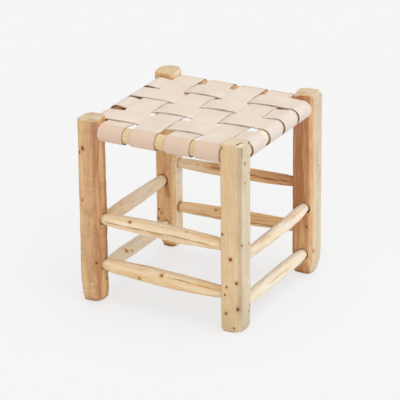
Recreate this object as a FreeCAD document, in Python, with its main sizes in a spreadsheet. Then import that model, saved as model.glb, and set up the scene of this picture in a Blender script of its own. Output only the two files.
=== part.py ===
import FreeCAD, Part
import Sketcher
import math
import os
import re

# A square stool with tenoned round sticks between hewn legs and a seat of interlaced leather straps.
# Millimetres. The origin is on the floor under the middle of the seat, z is up and the front faces -y.

Vector = FreeCAD.Vector
document = FreeCAD.newDocument("woven_stool")
sheet = document.addObject("Spreadsheet::Sheet", "Dimensions")

# Driving dimensions
SIZES = {
    "leg_height": 373.5,
    "leg_spacing": 300,
    "leg_width": 42,
    "leg_top_bevel": 3,
    "leg_top_bevel_height": 4,
    "rail_height": 345,
    "rail_diameter": 30,
    "rail_tenon_diameter": 16,
    "rail_tenon_long": 30,
    "rail_tenon_short": 12.5,
    "stick_tenon_diameter": 19,
    "stick_tenon_length": 30,
    "strap_width": 52,
    "strap_thickness": 2.6,
    "strap_tail": 14,
    "strap_dip_length": 14,
    "tack_head_width": 7.5,
    "tack_head_height": 1.6,
    "tack_head_bevel": 2.6,
    "tack_head_bevel_height": 1.2,
    "tack_shank_width": 2,
    "tack_shank_length": 14,
    "tack_point_length": 3,
    "tack_point_width": 0.4,
    "tack_spread": 28,
    "tack_inset": 6,
}

# Middles of the straps: those from front to back by x, those from left to right by y
STRAP_MIDDLES = {
    "strap_long_a": -101,
    "strap_long_b": -34.5,
    "strap_long_c": 35.5,
    "strap_long_d": 97,
    "strap_cross_a": -94,
    "strap_cross_b": -22,
    "strap_cross_c": 38.5,
    "strap_cross_d": 100.5,
}

# Each leg: its corner by x and y, how far each corner of its section is hewn,
# and how far each side of the foot is cut back, up to a height
LEGS = {
    "leg_front_left": {
        "corner": (-1, -1),
        "hewn": {"front_left": 6, "front_right": 6, "back_right": 10, "back_left": 16},
        "foot": {"outer_x": 9, "inner_x": 3, "outer_y": 3, "inner_y": 6, "rise": 44},
    },
    "leg_front_right": {
        "corner": (1, -1),
        "hewn": {"front_left": 4, "front_right": 8, "back_right": 6.5, "back_left": 8},
        "foot": {"outer_x": 5, "inner_x": 3.5, "outer_y": 3.5, "inner_y": 5, "rise": 14},
    },
    "leg_back_right": {
        "corner": (1, 1),
        "hewn": {"front_left": 2.5, "front_right": 6, "back_right": 3, "back_left": 9},
        "foot": {"outer_x": 8, "inner_x": 2, "outer_y": 4, "inner_y": 6, "rise": 33},
    },
    "leg_back_left": {
        "corner": (-1, 1),
        "hewn": {"front_left": 5, "front_right": 5, "back_right": 11, "back_left": 15},
        "foot": {"outer_x": 12, "inner_x": 3, "outer_y": 5, "inner_y": 10, "rise": 40},
    },
}

# Corners of a leg's section, by x and y
CORNERS = {"front_left": (-1, -1), "front_right": (1, -1), "back_right": (1, 1), "back_left": (-1, 1)}

# Each stretcher: height at its left or front end, height at its other end,
# drop of its middle and thickness there
STICKS = {
    "stretcher_front_upper": {"near": 171, "far": 168.5, "drop": 0, "thick": 31},
    "stretcher_front_lower": {"near": 79.5, "far": 72.5, "drop": 1.5, "thick": 33},
    "stretcher_back_upper": {"near": 178.5, "far": 186.5, "drop": 0, "thick": 25},
    "stretcher_back_lower": {"near": 88.5, "far": 95, "drop": 0, "thick": 25},
    "stretcher_left_upper": {"near": 151, "far": 149, "drop": 1, "thick": 22},
    "stretcher_left_lower": {"near": 57, "far": 59, "drop": 0, "thick": 22},
    "stretcher_right_upper": {"near": 137, "far": 142.5, "drop": 4.5, "thick": 24},
    "stretcher_right_lower": {"near": 45, "far": 46.5, "drop": 0, "thick": 27},
}

# Stations along a stretcher, as a share of its clear length,
# and its swelling there from tenon to full thickness
STATIONS = ((0, 0), (0.025, 0.27), (0.09, 0.6), (0.36, 1), (0.64, 1), (0.91, 0.6), (0.975, 0.27), (1, 0))

# How far in from both sides the middle of a corner is hewn, as a share of its rounding
HEWN_MIDDLE = round(1 - math.sqrt(0.5), 4)

# Sides of a whittled stick
STICK_SIDES = 12

# Sides of the stool: the turn about z and the direction from the middle of the stool
SIDES = {"front": (0, (0, -1)), "back": (0, (0, 1)), "left": (90, (-1, 0)), "right": (90, (1, 0))}


def fill_sheet():
    """Writes every driving dimension into a cell with its name as alias."""
    rows = dict(SIZES)
    rows.update(STRAP_MIDDLES)
    for name, leg in LEGS.items():
        for key, size in {**leg["hewn"], **leg["foot"]}.items():
            rows[f"{name}_{key}"] = size
    for name, stick in STICKS.items():
        for key, size in stick.items():
            rows[f"{name}_{key}"] = size
    for row, (alias, size) in enumerate(rows.items(), start=1):
        sheet.set(f"A{row}", alias)
        sheet.set(f"B{row}", str(size))
        sheet.setAlias(f"B{row}", alias)
    document.recompute()


def bound(words):
    """The expression with the sheet's name put before each alias."""
    return re.sub(r"[a-z_]+", lambda found: "Dimensions." + found.group(), words)


def size_of(words):
    """The present value of an expression of the sheet's aliases."""
    return float(sheet.evalExpression(bound(words)))


def add_body(label, turn, base):
    """A new body, turned about z and placed by three expressions."""
    body = document.addObject("PartDesign::Body", label)
    body.Label = label
    body.Placement.Rotation = FreeCAD.Rotation(Vector(0, 0, 1), turn)
    for axis, words in zip("xyz", base):
        body.setExpression(f"Placement.Base.{axis}", bound(words))
    return body


def add_sketch(body, name, role, offset):
    """A sketch on one of the body's own origin planes, moved along its normal by an expression."""
    sketch = body.newObject("Sketcher::SketchObject", name)
    plane = [feature for feature in body.Origin.OriginFeatures if feature.Role == role][0]
    sketch.AttachmentSupport = [(plane, "")]
    sketch.MapMode = "FlatFace"
    sketch.setExpression("AttachmentOffset.Base.z", bound(offset))
    return sketch


def constrain(sketch, kind, places, words):
    """Adds a constraint whose size follows an expression."""
    index = sketch.addConstraint(Sketcher.Constraint(kind, *places, size_of(words)))
    sketch.setExpression(f"Constraints[{index}]", bound(words))


def add_circle(sketch, radius, across, up):
    """A circle whose radius and centre follow expressions."""
    centre = Vector(size_of(across), size_of(up), 0)
    index = sketch.addGeometry(Part.Circle(centre, Vector(0, 0, 1), size_of(radius)), False)
    constrain(sketch, "Radius", (index,), radius)
    constrain(sketch, "DistanceX", (-1, 1, index, 3), across)
    constrain(sketch, "DistanceY", (-1, 1, index, 3), up)


def add_outline(sketch, points):
    """A closed outline of straight sides through points, each given as two expressions."""
    corners = [Vector(size_of(across), size_of(up), 0) for across, up in points]
    first = sketch.GeometryCount
    for start, end in zip(corners, corners[1:] + corners[:1]):
        sketch.addGeometry(Part.LineSegment(start, end), False)
    for index, (across, up) in enumerate(points):
        following = first + (index + 1) % len(points)
        sketch.addConstraint(Sketcher.Constraint("Coincident", first + index, 2, following, 1))
        constrain(sketch, "DistanceX", (-1, 1, first + index, 1), across)
        constrain(sketch, "DistanceY", (-1, 1, first + index, 1), up)


def add_square(sketch, width, across, up):
    """A square whose width and centre follow expressions."""
    half = f"{width} / 2"
    points = [(f"{across} + {x} * {half}", f"{up} + {y} * {half}") for x, y in CORNERS.values()]
    add_outline(sketch, points)


def add_whittled(sketch, radius, across, up):
    """The section of a whittled stick, with one side level, in a circle that follows expressions."""
    centre = Vector(size_of(across), size_of(up), 0)
    reach = size_of(radius)
    angles = [math.pi * (2 * index + 1) / STICK_SIDES for index in range(STICK_SIDES)]
    corners = [centre + Vector(math.cos(angle), math.sin(angle), 0) * reach for angle in angles]
    first = sketch.GeometryCount
    for start, end in zip(corners, corners[1:] + corners[:1]):
        sketch.addGeometry(Part.LineSegment(start, end), False)
    ring = sketch.addGeometry(Part.Circle(centre, Vector(0, 0, 1), reach), True)
    for index in range(STICK_SIDES):
        side = first + index
        following = first + (index + 1) % STICK_SIDES
        sketch.addConstraint(Sketcher.Constraint("Coincident", side, 2, following, 1))
        sketch.addConstraint(Sketcher.Constraint("PointOnObject", side, 1, ring))
        if index:
            sketch.addConstraint(Sketcher.Constraint("Equal", first, side))
    sketch.addConstraint(Sketcher.Constraint("Horizontal", first + STICK_SIDES // 4 - 1))
    constrain(sketch, "Radius", (ring,), radius)
    constrain(sketch, "DistanceX", (-1, 1, ring, 3), across)
    constrain(sketch, "DistanceY", (-1, 1, ring, 3), up)


def add_pad(body, name, sketch, length, both_ways=False):
    """Extrudes a sketch by an expression."""
    pad = body.newObject("PartDesign::Pad", name)
    pad.Profile = sketch
    pad.setExpression("Length", bound(length))
    pad.Midplane = both_ways
    document.recompute()
    return pad


def add_bevel(body, name, feature, upward, inwards, along):
    """Bevels all edges of a feature's top or bottom face, by one expression inwards and one along z."""
    faces = feature.Shape.Faces
    heights = [(1 if upward else -1) * face.CenterOfMass.z for face in faces]
    index = heights.index(max(heights))
    bevel = body.newObject("PartDesign::Chamfer", name)
    bevel.Base = (feature, [f"Face{index + 1}"])
    bevel.ChamferType = "Two distances"
    bevel.setExpression("Size", bound(along))
    bevel.setExpression("Size2", bound(inwards))
    document.recompute()
    return bevel


def add_pocket(body, name, sketch, depth, forward=False, both_ways=False):
    """Cuts a sketch along its normal or against it, and checks that something was cut."""
    document.recompute()
    before = body.Shape.Volume
    pocket = body.newObject("PartDesign::Pocket", name)
    pocket.Profile = sketch
    pocket.setExpression("Length", bound(depth))
    pocket.Reversed = forward
    pocket.Midplane = both_ways
    document.recompute()
    if body.Shape.Volume > before - 1:
        raise RuntimeError(f"{name} cuts nothing from {body.Label}")
    return pocket


def make_leg(label, leg):
    """A hewn pole with a bevelled top, a foot cut back on four sides and blind mortises inside."""
    side_x, side_y = leg["corner"]
    body = add_body(label, 0, (f"{side_x} * leg_spacing / 2", f"{side_y} * leg_spacing / 2", "0"))

    # Each corner of the section is hewn in two flats
    section = add_sketch(body, f"{label}_section", "XY_Plane", "0")
    half = "leg_width / 2"
    shares = ((0, 1), (HEWN_MIDDLE, HEWN_MIDDLE), (1, 0))
    points = []
    for corner, (to_x, to_y) in CORNERS.items():
        hewn = f"{label}_{corner}"
        for share_x, share_y in shares if to_x * to_y > 0 else shares[::-1]:
            across = f"{to_x} * ({half} - {share_x} * {hewn})"
            up = f"{to_y} * ({half} - {share_y} * {hewn})"
            points.append((across, up))
    add_outline(section, points)
    pole = add_pad(body, f"{label}_pole", section, "leg_height")
    add_bevel(body, f"{label}_top", pole, True, "leg_top_bevel", "leg_top_bevel_height")

    # A knife cut on each side of the foot, from its rise down to the floor
    for axis, plane, side in (("x", "XZ_Plane", side_x), ("y", "YZ_Plane", side_y)):
        cuts = add_sketch(body, f"{label}_{axis}_cuts", plane, "0")
        for way, key in ((side, f"outer_{axis}"), (-side, f"inner_{axis}")):
            depth = f"{label}_{key}"
            floor = (f"{way} * ({half} - {depth})", "0")
            heel = (f"{way} * ({half} + {depth})", "0")
            ankle = (f"{way} * ({half} + {depth})", f"2 * {label}_rise")
            add_outline(cuts, [floor, heel, ankle])
        add_pocket(body, f"{label}_{axis}_foot", cuts, "2 * leg_width", both_ways=True)

    side_name_x = "front" if side_y < 0 else "back"
    side_name_y = "left" if side_x < 0 else "right"
    end_x = "near" if side_x < 0 else "far"
    end_y = "near" if side_y < 0 else "far"
    # Sticks along x enter the inner side towards -side_x, those along y the one towards -side_y
    runs = (
        ("x", "YZ_Plane", side_x, side_x < 0, side_name_x, end_x, "rail_tenon_long"),
        ("y", "XZ_Plane", -side_y, side_y > 0, side_name_y, end_y, "rail_tenon_short"),
    )
    for axis, plane, sign, forward, side, end, rail_depth in runs:
        stick_floor = f"{sign} * (stick_tenon_length - leg_width / 2)"
        rail_floor = f"{sign} * ({rail_depth} - leg_width / 2)"
        sticks = add_sketch(body, f"{label}_{axis}_mortises", plane, stick_floor)
        for level in ("upper", "lower"):
            height = f"stretcher_{side}_{level}_{end}"
            add_whittled(sticks, "stick_tenon_diameter / 2", "0", height)
        add_pocket(body, f"{label}_{axis}_drilled", sticks, "stick_tenon_length + 1", forward)
        rail = add_sketch(body, f"{label}_{axis}_rail_mortise", plane, rail_floor)
        add_whittled(rail, "rail_tenon_diameter / 2", "0", "rail_height")
        add_pocket(body, f"{label}_{axis}_rail_drilled", rail, f"{rail_depth} + 1", forward)
    return body


def side_body(label, side, height):
    """A body whose own x runs along one side of the stool, at a height."""
    turn, (to_x, to_y) = SIDES[side]
    return add_body(label, turn, (f"{to_x} * leg_spacing / 2", f"{to_y} * leg_spacing / 2", height))


def inward(side):
    """1 or -1: the way along a side body's own y that leads to the middle of the stool."""
    turn, (to_x, to_y) = SIDES[side]
    return to_x if turn else -to_y


def make_stick(label, side):
    """A whittled stick with two tenons, lofted through faceted sections that swell, drop and climb."""
    body = side_body(label, side, "0")
    clear = "(leg_spacing - leg_width)"
    stations = [(f"0 - {clear} / 2 - stick_tenon_length", 0, 0)]
    stations += [(f"{share - 0.5} * {clear}", share, swelling) for share, swelling in STATIONS]
    stations += [(f"{clear} / 2 + stick_tenon_length", 1, 0)]
    sections = []
    for number, (along, share, swelling) in enumerate(stations):
        sketch = add_sketch(body, f"{label}_section_{number}", "YZ_Plane", along)
        radius = f"(stick_tenon_diameter + {swelling} * ({label}_thick - stick_tenon_diameter)) / 2"
        drop = f"{4 * share * (1 - share)} * {label}_drop"
        climb = f"{share} * ({label}_far - {label}_near)"
        add_whittled(sketch, radius, "0", f"{label}_near + {climb} - {drop}")
        sections.append(sketch)
    stick = body.newObject("PartDesign::AdditiveLoft", f"{label}_stick")
    stick.Profile = sections[0]
    stick.Sections = sections[1:]
    stick.Ruled = True
    document.recompute()
    return body


def make_rail(label, side, straps, tenon):
    """A round seat rail with a tenon at each end and pilot holes for the tacks under each strap."""
    body = side_body(label, side, "rail_height")
    round_section = add_sketch(body, f"{label}_round", "YZ_Plane", "0")
    add_circle(round_section, "rail_diameter / 2", "0", "0")
    add_pad(body, f"{label}_bar", round_section, "leg_spacing - leg_width", both_ways=True)
    core = add_sketch(body, f"{label}_core", "YZ_Plane", "0")
    add_whittled(core, "rail_tenon_diameter / 2", "0", "0")
    add_pad(body, f"{label}_tenons", core, f"leg_spacing - leg_width + 2 * {tenon}", both_ways=True)
    tack_points = "tack_shank_length - rail_diameter / 2 - strap_thickness"
    pilots = add_sketch(body, f"{label}_pilots", "XY_Plane", tack_points)
    inset = f"{inward(side)} * tack_inset"
    for strap in straps:
        for sign in (-1, 1):
            add_square(pilots, "tack_shank_width", f"{strap} + {sign} * tack_spread / 2", inset)
    add_pocket(body, f"{label}_pilot_holes", pilots, "rail_diameter")
    return body


def dip(start, end):
    """Two equal arcs that join two points at different heights, level at both ends."""
    run = end.x - start.x
    fall = end.y - start.y
    radius = (run**2 + fall**2) / (4 * abs(fall))
    turn = 2 * math.atan2(abs(fall), run)
    up = Vector(0, 0, 1)
    if fall < 0:
        first = Part.Circle(start - Vector(0, radius, 0), up, radius)
        second = Part.Circle(end + Vector(0, radius, 0), up, radius)
        low = 0.5 * math.pi - turn
        return [
            (Part.ArcOfCircle(first, low, 0.5 * math.pi), 2, 1),
            (Part.ArcOfCircle(second, low + math.pi, 1.5 * math.pi), 1, 2),
        ]
    first = Part.Circle(start + Vector(0, radius, 0), up, radius)
    second = Part.Circle(end - Vector(0, radius, 0), up, radius)
    high = 0.5 * math.pi + turn
    return [
        (Part.ArcOfCircle(first, 1.5 * math.pi, high + math.pi), 1, 2),
        (Part.ArcOfCircle(second, 0.5 * math.pi, high), 2, 1),
    ]


def make_strap(label, middle, turn, crossed, over_first):
    """A strap swept round one rail, over and under the straps that it crosses, and round the other rail."""
    across = (f"{middle}", "0") if turn else ("0", f"{middle}")
    body = add_body(label, turn, (*across, "rail_height"))
    wrap = "(rail_diameter + strap_thickness) / 2"
    low = f"{wrap} - strap_thickness"
    reach = "leg_spacing / 2"

    # Level runs of the path, each as its two ends along the strap and its height
    levels = [wrap if (place % 2 == 0) == over_first else low for place in range(len(crossed))]
    edges = [(f"{name} - strap_width / 2", f"{name} + strap_width / 2") for name in crossed]
    runs = [[start, end, level] for (start, end), level in zip(edges, levels)]
    if over_first:
        runs[0][0] = f"0 - {reach}"
        runs.append([f"{runs[-1][1]} + strap_dip_length", reach, wrap])
    else:
        runs[-1][1] = reach
        runs.insert(0, [f"0 - {reach}", f"{runs[0][0]} - strap_dip_length", wrap])

    path = add_sketch(body, f"{label}_path", "XZ_Plane", "0")
    pieces = []
    under = f"0 - ({wrap})"
    below = size_of(under)
    span = size_of(reach)
    tail_length = size_of("strap_tail")
    near_tail = Part.LineSegment(Vector(tail_length - span, below, 0), Vector(-span, below, 0))
    pieces.append((near_tail, 1, 2))
    near = Part.Circle(Vector(-span, 0, 0), Vector(0, 0, 1), size_of(wrap))
    pieces.append((Part.ArcOfCircle(near, 0.5 * math.pi, 1.5 * math.pi), 2, 1))
    lines = []
    last = None
    for start, end, level in runs:
        from_point = Vector(size_of(start), size_of(level), 0)
        to_point = Vector(size_of(end), size_of(level), 0)
        if last is not None:
            pieces.extend(dip(last, from_point))
        lines.append(len(pieces))
        pieces.append((Part.LineSegment(from_point, to_point), 1, 2))
        last = to_point
    far = Part.Circle(Vector(span, 0, 0), Vector(0, 0, 1), size_of(wrap))
    pieces.append((Part.ArcOfCircle(far, -0.5 * math.pi, 0.5 * math.pi), 2, 1))
    far_tail = Part.LineSegment(Vector(span, below, 0), Vector(span - tail_length, below, 0))
    pieces.append((far_tail, 1, 2))

    path.addGeometry([piece for piece, first, second in pieces], False)
    for index in range(len(pieces) - 1):
        leaving = pieces[index][2]
        entering = pieces[index + 1][1]
        path.addConstraint(Sketcher.Constraint("Tangent", index, leaving, index + 1, entering))
    for line, (start, end, level) in zip(lines, runs):
        path.addConstraint(Sketcher.Constraint("Horizontal", line))
        constrain(path, "DistanceX", (-1, 1, line, 1), start)
        constrain(path, "DistanceX", (-1, 1, line, 2), end)
        constrain(path, "DistanceY", (-1, 1, line, 1), level)
    for line in lines[:-1]:
        path.addConstraint(Sketcher.Constraint("Equal", line + 1, line + 2))
    tails = ((0, 1, f"strap_tail - {reach}"), (len(pieces) - 1, 2, f"{reach} - strap_tail"))
    for tail_line, end, place in tails:
        path.addConstraint(Sketcher.Constraint("Horizontal", tail_line))
        constrain(path, "DistanceX", (-1, 1, tail_line, end), place)
        constrain(path, "DistanceY", (-1, 1, tail_line, end), under)

    cut = add_sketch(body, f"{label}_cut", "YZ_Plane", f"strap_tail - {reach}")
    low_edge = f"{under} - strap_thickness / 2"
    high_edge = f"{under} + strap_thickness / 2"
    left_edge = "0 - strap_width / 2"
    right_edge = "strap_width / 2"
    low_corners = [(left_edge, low_edge), (right_edge, low_edge)]
    high_corners = [(right_edge, high_edge), (left_edge, high_edge)]
    add_outline(cut, low_corners + high_corners)
    document.recompute()

    band = body.newObject("PartDesign::AdditivePipe", f"{label}_band")
    band.Profile = cut
    band.Spine = path
    document.recompute()

    punched = add_sketch(body, f"{label}_punched", "XY_Plane", "0")
    for end in (-1, 1):
        for sign in (-1, 1):
            place = (f"{end} * (leg_spacing / 2 - tack_inset)", f"{sign} * tack_spread / 2")
            add_square(punched, "tack_shank_width", *place)
    add_pocket(body, f"{label}_tack_holes", punched, "rail_diameter")
    return body


def make_tack():
    """One forged tack, head down and shank up; the flat side of its head is at z = 0."""
    body = add_body("tack_pattern", 0, ("0", "0", "0"))
    head = add_sketch(body, "tack_head", "XY_Plane", "0 - tack_head_height")
    add_square(head, "tack_head_width", "0", "0")
    crown = add_pad(body, "tack_crown", head, "tack_head_height")
    add_bevel(body, "tack_crown_bevel", crown, False, "tack_head_bevel", "tack_head_bevel_height")
    stem = add_sketch(body, "tack_stem", "XY_Plane", "0")
    add_square(stem, "tack_shank_width", "0", "0")
    shank = add_pad(body, "tack_shank", stem, "tack_shank_length")
    point_bevel = "(tack_shank_width - tack_point_width) / 2"
    add_bevel(body, "tack_point", shank, True, point_bevel, "tack_point_length")
    return body


def make_tacks(label, side, straps, tack):
    """All tacks under one rail, two to a strap, as one group of solids."""
    turn, (to_x, to_y) = SIDES[side]
    spacing = size_of("leg_spacing / 2")
    copies = []
    for strap in straps:
        for sign in (-1, 1):
            copy = tack.Shape.copy()
            along = size_of(f"{strap} + {sign} * tack_spread / 2")
            copy.translate(Vector(along, inward(side) * size_of("tack_inset"), 0))
            copies.append(copy)
    group = document.addObject("Part::Feature", label)
    group.Label = label
    group.Shape = Part.makeCompound(copies)
    height = size_of("rail_height - rail_diameter / 2 - strap_thickness")
    place = Vector(to_x * spacing, to_y * spacing, height)
    group.Placement = FreeCAD.Placement(place, FreeCAD.Rotation(Vector(0, 0, 1), turn))
    return group


fill_sheet()
long_straps = [name for name in STRAP_MIDDLES if "long" in name]
cross_straps = [name for name in STRAP_MIDDLES if "cross" in name]
nodes = []

for leg_name, leg in LEGS.items():
    nodes.append(make_leg(leg_name, leg))

for side in SIDES:
    for level in ("upper", "lower"):
        nodes.append(make_stick(f"stretcher_{side}_{level}", side))

for side in SIDES:
    along_x = side in ("front", "back")
    carried = long_straps if along_x else cross_straps
    tenon = "rail_tenon_long" if along_x else "rail_tenon_short"
    nodes.append(make_rail(f"seat_rail_{side}", side, carried, tenon))

# Neighbouring straps start the other way up, and so do the straps that cross them
for place, strap in enumerate(long_straps):
    nodes.append(make_strap(strap, strap, 90, cross_straps, over_first=place % 2 == 1))
for place, strap in enumerate(cross_straps):
    nodes.append(make_strap(strap, strap, 0, long_straps, over_first=place % 2 == 0))

tack = make_tack()
for side in SIDES:
    carried = long_straps if side in ("front", "back") else cross_straps
    nodes.append(make_tacks(f"tacks_{side}", side, carried, tack))

document.recompute()
for item in document.Objects:
    if "Invalid" in item.State or "Error" in item.State:
        raise RuntimeError(f"{item.Label} is {item.State}")
for node in nodes:
    if node.Shape.isNull() or not node.Shape.isValid():
        raise RuntimeError(f"{node.Label} has no valid shape")

os.makedirs("parts", exist_ok=True)
for node in nodes:
    node.Shape.exportStep(f"parts/{node.Label}.step")
    print(node.Label, len(node.Shape.Solids), round(node.Shape.Volume), node.Shape.BoundBox)
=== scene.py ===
import math

import bmesh
import bpy
import numpy as np
from mathutils import Matrix, Vector


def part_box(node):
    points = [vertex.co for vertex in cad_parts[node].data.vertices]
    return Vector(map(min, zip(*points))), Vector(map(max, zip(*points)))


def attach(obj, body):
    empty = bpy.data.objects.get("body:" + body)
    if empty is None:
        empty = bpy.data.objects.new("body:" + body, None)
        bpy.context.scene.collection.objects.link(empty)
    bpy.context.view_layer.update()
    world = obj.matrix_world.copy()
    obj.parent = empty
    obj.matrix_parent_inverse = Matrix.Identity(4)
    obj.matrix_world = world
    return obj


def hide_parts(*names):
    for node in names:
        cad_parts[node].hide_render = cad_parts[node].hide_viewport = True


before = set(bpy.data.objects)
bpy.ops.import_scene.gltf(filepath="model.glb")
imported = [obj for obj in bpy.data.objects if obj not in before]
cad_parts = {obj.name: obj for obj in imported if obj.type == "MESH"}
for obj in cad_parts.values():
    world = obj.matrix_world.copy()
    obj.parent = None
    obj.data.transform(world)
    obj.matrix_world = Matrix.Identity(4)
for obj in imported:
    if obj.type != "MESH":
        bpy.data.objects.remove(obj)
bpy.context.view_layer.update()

# A square stool of hewn legs and whittled sticks with a seat of interlaced leather straps.
# Metres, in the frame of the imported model: z is up and the front faces -y.
MM = 0.001
# How near counts as touching
TOUCH = 0.01 * MM

# Each side of the stool and of a leg: the axis it looks along, and which way
SIDES = {"front": (1, -1), "back": (1, 1), "left": (0, -1), "right": (0, 1)}
LEVELS = ("upper", "lower")
LETTERS = "abcd"
PLAN_CORNERS = ((-1, -1), (1, -1), (1, 1), (-1, 1))

# Camera: where it stands, what it looks at and how long its lens is
VIEW_AZIMUTH = math.radians(28.126)
VIEW_ELEVATION = math.radians(21.898)
VIEW_ROLL = math.radians(-0.510)
VIEW_DISTANCE = 5.1591
VIEW_TARGET = Vector((-0.003485, 0.0, 0.17712))
SENSOR_WIDTH = 36.0
LENS = 243.9

# Light: an even sky, one wide soft key from above, and softer ones low on the right and in front
SKY_STRENGTH = 0.36
LAMPS = {
    "key": {"direction": (0.10, 0.05, 0.99), "strength": 1.58, "spread": 65},
    "right_fill": {"direction": (0.90, -0.34, 0.26), "strength": 1.14, "spread": 60},
    "front_fill": {"direction": (0.25, -0.92, 0.30), "strength": 0.84, "spread": 60},
}

# Floor: its colour, and how far what the camera sees of it is lifted to the plain background
FLOOR_COLOUR = (0.92, 0.92, 0.92, 1.0)
FLOOR_ROUGHNESS = 0.9
FLOOR_SIZE = 30.0
FLOOR_LIFT = 0.75
LIFT_COLOUR = (0.915, 0.915, 0.915, 1.0)

# Mesh density: points along a leg's side and round its corner, rings of its top and sole, steps along
# pieces, points round sticks, mortises and rolls, points across a strap and round its edge, rings of a split,
# how near each other a cut's points are merged, and the angles past which faces meet sharply
SIDE_POINTS = 15
CORNER_POINTS = 8
CAP_RINGS = 24
SOLE_RINGS = 16
RING_STEP = 2.0 * MM
STRAP_STEP = 2.0 * MM
STICK_POINTS = 46
HOLE_POINTS = 56
ROLL_POINTS = 30
STRAP_POINTS = 23
EDGE_POINTS = 4
SPLIT_RINGS = 13
CUT_MERGE = 0.02 * MM
LEG_SHARP = 38
STICK_SHARP = 50
STRAP_SHARP = 60

# Wood: what its material reads, the width of a growth ring, how far apart in the grain two seeds lie,
# how far a knot reaches in its radii, how a leg's knots are stretched upwards, and the colours
WOOD_VALUES = ("tone", "streaks", "marks", "knot", "check_and_shade", "soil_and_shade")
RING_WIDTH = 3.6 * MM
GRAIN_APART = 3.0
KNOT_REACH = 6.0
KNOT_SHAPE = (1.0, 1.0, 0.85)
WOOD_TONES = (
    (0.00, (0.920, 0.860, 0.745)),
    (0.16, (0.945, 0.795, 0.595)),
    (0.33, (0.890, 0.695, 0.455)),
    (0.48, (0.850, 0.600, 0.330)),
    (0.60, (0.825, 0.520, 0.245)),
    (0.78, (0.655, 0.355, 0.165)),
    (1.00, (0.420, 0.165, 0.060)),
)
BARK = (0.610, 0.325, 0.200)
SOIL_AND_SHADE = (0.40, 0.315, 0.205)
BROWN_FLECK = (0.29, 0.135, 0.065)
RED_FLECK = (0.45, 0.165, 0.080)
KNOT_CORE = (0.25, 0.080, 0.030)
KNOT_RIM = (0.085, 0.026, 0.012)
CRACK_AND_SHADE = (0.150, 0.072, 0.038)
TOOL_MARK = (0.36, 0.205, 0.105)

# Hewn legs: their corners, foot, sole and rim, the wander of their grain, and their bands of tone.
# Layers of waves: depth in mm, wavelength, stretch of the axes and step of the seed; a loss keeps them in
CORNER_FLATNESS = 0.8
CORNER_WAVES = ((0.14, 0.11, 0), (0.08, 0.03, 60))
FOOT_REACH = 60.0 * MM
SOLE_CURVE = 1.25
SOLE_MIDDLE = 0.05
RIM_ROUND = 1.2 * MM
RIM_TONE = 0.35
SIDE_WAVES = ((0.38, 0.026, (1, 1, 0.35), 7), (0.12, 0.010, (1, 1, 0.6), 8))
SIDE_LOSS = 0.25 * MM
TOP_WAVES = ((0.22, 0.007, (1, 1, 0), 9), (0.30, 0.02, (1, 1, 0), 5))
TOP_LOSS = 0.4 * MM
TOP_ROUGH = 2.5 * MM
GRAIN_WANDER = 4.0 * MM
GRAIN_WAVE = 0.25
BAND_WANDER = 1.5 * MM
BAND_WAVE = 0.09
BAND_FADE = 10
BAND_DEPTH = 15.0 * MM
BAND_SEED = 70

# Mortises: where their cutters and their painted shade start, how far they are wider and deeper than the
# tenons, the share of a gap that widens them, and how dark the shade painted inside them is
MORTISE_START = 6.0 * MM
MORTISE_SHADE = 1.2 * MM
MORTISE_WIDER = 0.7 * MM
MORTISE_DEEPER = 0.5 * MM
MORTISE_GAP = 0.8
MORTISE_DARK = 0.5

# The split in a top: its distance from the edge, its depth below the rim, its least opening, and its wander
SPLIT_START = 3.0 * MM
SPLIT_RIM = 1.25 * MM
SPLIT_LEAST = 0.08
SPLIT_WANDER = 0.4 * MM

# Sticks and rails: number and depth of their flats, waves as for the legs, and where the pith lies in radii.
# Twists, bows and paths are sways along a stick, each by its reach, pace and step of the seed.
# Then the ends as shares of the length, tool marks and how much smaller knots are; the drying check; and
# what stains, patches and the halo of a knot add to the tone
STICK_FLATS = (9, 0.75)
RAIL_FLATS = (11, 0.5)
FLAT_TWIST = ((0.25, 19, 1), (0.12, 47, 2))
STICK_WAVES = ((0.45, 0.028, (0.5, 1, 1), 0), (0.16, 0.011, (1, 1, 1), 1))
RAIL_WAVES = ((0.12, 0.03, (0.5, 1, 1), 0),)
RAIL_LOSS = 0.12 * MM
WAVE_DRUM = 0.03
STICK_PITH = (0.25, 0.25)
RAIL_PITH = (0.2, 0.3)
STICK_BOW = ((0.9 * MM, 14, 1),)
STICK_END = 0.05
STICK_MARKS = 0.15
STICK_KNOTS = 0.35
END_REACH = 0.02
CHECK_COLUMNS = (-3.2, -1.7, -0.8, 0.0, 0.8, 1.7, 3.2)
CHECK_CLEAR = 1.5 * MM
CHECK_PATH = ((0.05, 34, 1), (0.03, 97, 3))
CHECK_GAPE = 0.8
CHECK_GAPING = ((0.2, 130, 1),)
CHECK_DEPTH = 1.4 * MM
CHECK_STAIN = 3.5 * MM
STAIN_TONE = 0.22
PATCH_TONE = 0.35
HALO_TONE = 0.4
HALO_REACH = 1.3
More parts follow.
